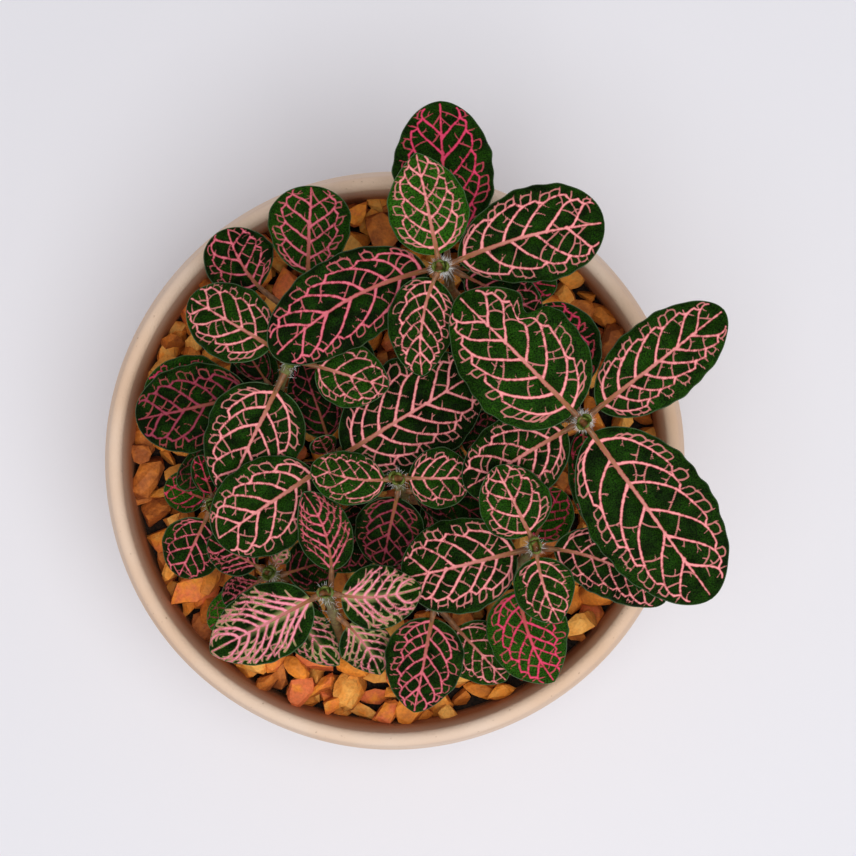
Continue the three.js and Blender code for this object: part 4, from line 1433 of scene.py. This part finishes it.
class NERVE_OT_stems(Operator):
    """Grows the shoots' stems with their buds and the hairs at their nodes"""

    bl_idname = "nerve_plant.stems"
    bl_label = "Stems"

    def execute(self, context):
        settings = context.scene.nerve_shoot
        # Soft herbaceous skin, faintly waxy
        bark = new_material("Fittonia stem", soft_skin(settings.bark, settings.green_bark), Roughness=0.55)
        # The bud's young skin catches more light than the blades do
        bud = new_material("Fittonia bud", young_bud(), Roughness=0.45)
        # Dead-white hairs scatter light, so a tuft reads as a pale bloom
        pair = tuple(settings.hair), tuple(0.8 * c for c in settings.hair[:3]) + (1.0,)
        down = new_material("Plant hair", plain_tint(*pair, 2.0), Roughness=0.7)
        pick = np.random.default_rng(settings.seed)
        roots = []
        aims = []
        for index, (name, shoot) in enumerate(SHOOTS.items()):
            made = stem_object(f"{name}_shoot", shoot, [bark, bud], index)
            finish_piece(made, "stem", f"{name}_stem")
            line, places, nodes_at = stem_path(*shoot)
            for at in nodes_at:
                count = (60 if at == nodes_at[-1] else 16) * (4 if name in WOOLLY else 1)
                along = at + pick.normal(-0.4, 2.1, count)
                along = np.clip(along, places[40], places[-1])
                centre = np.stack([np.interp(along, places, line[:, axis]) for axis in range(3)], 1)
                turn = pick.uniform(0, 2 * np.pi, count)
                out = np.stack([np.cos(turn), np.sin(turn), np.zeros(count)], 1)
                roots.append(centre + out * (STEM_RADIUS - 0.15))
                aims.append(unit(out + pick.normal(0, 0.45, (count, 3)) + UP * 0.25))
        roots = np.concatenate(roots)
        aims = np.concatenate(aims)
        tilt = np.arccos(np.clip(aims[:, 2], -1, 1))
        swing = np.arctan2(aims[:, 1], aims[:, 0])
        thin = settings.hair_width / 2
        slim = np.full((len(roots), 2), thin / settings.hair_length)
        stretch = np.column_stack([slim, np.ones(len(roots))])
        attributes = {
            "variant": ("INT", np.zeros(len(roots))),
            "turn": ("FLOAT_VECTOR", np.column_stack([np.zeros(len(roots)), tilt, swing])),
            "stretch": ("FLOAT_VECTOR", stretch),
            "share": ("FLOAT", pick.uniform(0, 1, len(roots))),
        }
        longest = settings.hair_length
        shapes = [hair_shape("hair")]
        hairs = scattered("node_hairs", shapes, roots, attributes, longest * 0.45, longest, down)
        finish_piece(hairs, "stem")
        return {"FINISHED"}


class NERVE_OT_leaves(Operator):
    """Grows every leaf with its stalk and veins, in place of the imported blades"""

    bl_idname = "nerve_plant.leaves"
    bl_label = "Leaves"

    def execute(self, context):
        look = context.scene.nerve_leaf
        stem = context.scene.nerve_shoot
        stalk = new_material("Fittonia stalk", soft_skin(look.stalk, stem.green_bark), Roughness=0.5)
        faces = {}
        for name in ("salmon", "rose", "crimson", "dusky", "mauve"):
            vein = tuple(getattr(look, name))
            # Pebbled skin breaks up what little gloss it has, so the blade looks almost matt
            paint = leaf_face(look, vein, feather=name == "mauve")
            matt = {"Roughness": 0.42, "Specular_IOR_Level": 0.03}
            front = new_material(f"Fittonia leaf, {name} veins", paint, **matt)
            # The smoother underside is paler, with a faint broad sheen
            sheen = {"Roughness": 0.6, "Specular_IOR_Level": 0.2}
            back = new_material(f"Fittonia leaf back, {name} veins", leaf_back(look, vein), **sheen)
            faces[name] = [front, back, stalk]
        for shoot, (_, *nodes) in SHOOTS.items():
            grown = [(at, spec) for at, *leaves in nodes for spec in leaves]
            for number, (at, spec) in enumerate(grown, 1):
                packed = f"{shoot}_leaf_{number}"
                blade = Blade(packed, at, spec)
                name = f"{shoot}_blade_{number}"
                made = leaf_object(name, blade, look, faces[spec["veins"]], look.grain / MM)
                finish_piece(made, "leaf", packed)
        for kind, rows in LITTLE_LEAVES.items():
            for number, (shoot, height, *measures) in enumerate(rows, 1):
                name = f"{kind}_{number}"
                spec = leaf(*measures)
                line = stem_path(*SHOOTS[shoot])[0]
                at = line[np.abs(line[:, 2] - height).argmin()]
                blade = Blade(name, at, spec)
                made = leaf_object(name, blade, look, faces[spec["veins"]], look.small_grain / MM)
                finish_piece(made, "leaf")
        return {"FINISHED"}


class NERVE_OT_stage(Operator):
    """Sets the pale floor, the soft lights and the camera straight above"""

    bl_idname = "nerve_plant.stage"
    bl_label = "Stage"

    def execute(self, context):
        settings = context.scene.nerve_stage
        scene = context.scene
        far = 1600
        floor_points = [(-far, -far, 0), (far, -far, 0), (far, far, 0), (-far, far, 0)]
        pale = tuple(settings.floor)
        shade = tuple(0.97 * c for c in pale[:3]) + (1.0,)
        # Matt laminate, so it shows only a soft contact shadow
        top = new_material("Pale laminate", plain_tint(shade, pale, 300.0), Roughness=0.6)
        mesh_object("floor", floor_points, [(0, 1, 2, 3)], [top])

        lens = bpy.data.cameras.new("camera")
        lens.sensor_width = 36.0
        lens.lens = lens.sensor_width * settings.camera_height / settings.field
        lens.clip_start = 0.01
        eye = bpy.data.objects.new("camera", lens)
        eye.location = (settings.across, settings.behind, BOWL_HEIGHT * MM + settings.camera_height)
        scene.collection.objects.link(eye)
        scene.camera = eye

        for name, power, size, at, aim in (
            ("softbox", settings.softbox, 1.1, (0.12, -0.24, 1.3), (0.0, 0.0, 0.05)),
            ("window", settings.window, 0.9, (0.9, -0.9, 0.9), (0.0, 0.0, 0.05)),
        ):
            light = bpy.data.lights.new(name, "AREA")
            light.energy = power
            light.shape = "DISK"
            light.size = size
            lamp = bpy.data.objects.new(name, light)
            lamp.location = at
            back = unit(np.array(at) - np.array(aim))
            lamp.rotation_euler = (math.acos(back[2]), 0.0, math.atan2(back[1], back[0]) + math.pi / 2)
            scene.collection.objects.link(lamp)

        world = bpy.data.worlds.new("studio")
        world.use_nodes = True
        scene.world = world
        air = world.node_tree.nodes["Background"]
        air.inputs["Color"].default_value = linear("#F4F4FA")
        air.inputs["Strength"].default_value = settings.sky
        scene.view_settings.view_transform = "Standard"
        return {"FINISHED"}


class NERVE_PT_panel(Panel):
    """Lists the steps that build the plant"""

    bl_label = "Nerve Plant"
    bl_space_type = "VIEW_3D"
    bl_region_type = "UI"
    bl_category = "Nerve Plant"

    def draw(self, context):
        for operator, settings in STEPS:
            box = self.layout.box()
            box.operator(operator.bl_idname)
            group = getattr(context.scene, settings)
            for key in group.__annotations__:
                box.prop(group, key)


STEPS = (
    (NERVE_OT_stage, "nerve_stage"),
    (NERVE_OT_bowl, "nerve_bowl"),
    (NERVE_OT_bed, "nerve_gravel"),
    (NERVE_OT_stems, "nerve_shoot"),
    (NERVE_OT_leaves, "nerve_leaf"),
)
SETTINGS = {
    "nerve_bowl": BowlSettings,
    "nerve_gravel": GravelSettings,
    "nerve_shoot": ShootSettings,
    "nerve_leaf": LeafSettings,
    "nerve_stage": StageSettings,
}


def register():
    for group in SETTINGS.values():
        bpy.utils.register_class(group)
    for operator, _ in STEPS:
        bpy.utils.register_class(operator)
    bpy.utils.register_class(NERVE_PT_panel)
    for name, group in SETTINGS.items():
        setattr(bpy.types.Scene, name, PointerProperty(type=group))


def unregister():
    for name in SETTINGS:
        delattr(bpy.types.Scene, name)
    bpy.utils.unregister_class(NERVE_PT_panel)
    for operator, _ in STEPS:
        bpy.utils.unregister_class(operator)
    for group in SETTINGS.values():
        bpy.utils.unregister_class(group)


def main():
    register()
    bpy.ops.nerve_plant.stage()
    bpy.ops.nerve_plant.bowl()
    bpy.ops.nerve_plant.bed()
    bpy.ops.nerve_plant.stems()
    bpy.ops.nerve_plant.leaves()
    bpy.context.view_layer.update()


if __name__ == "__main__":
    main()
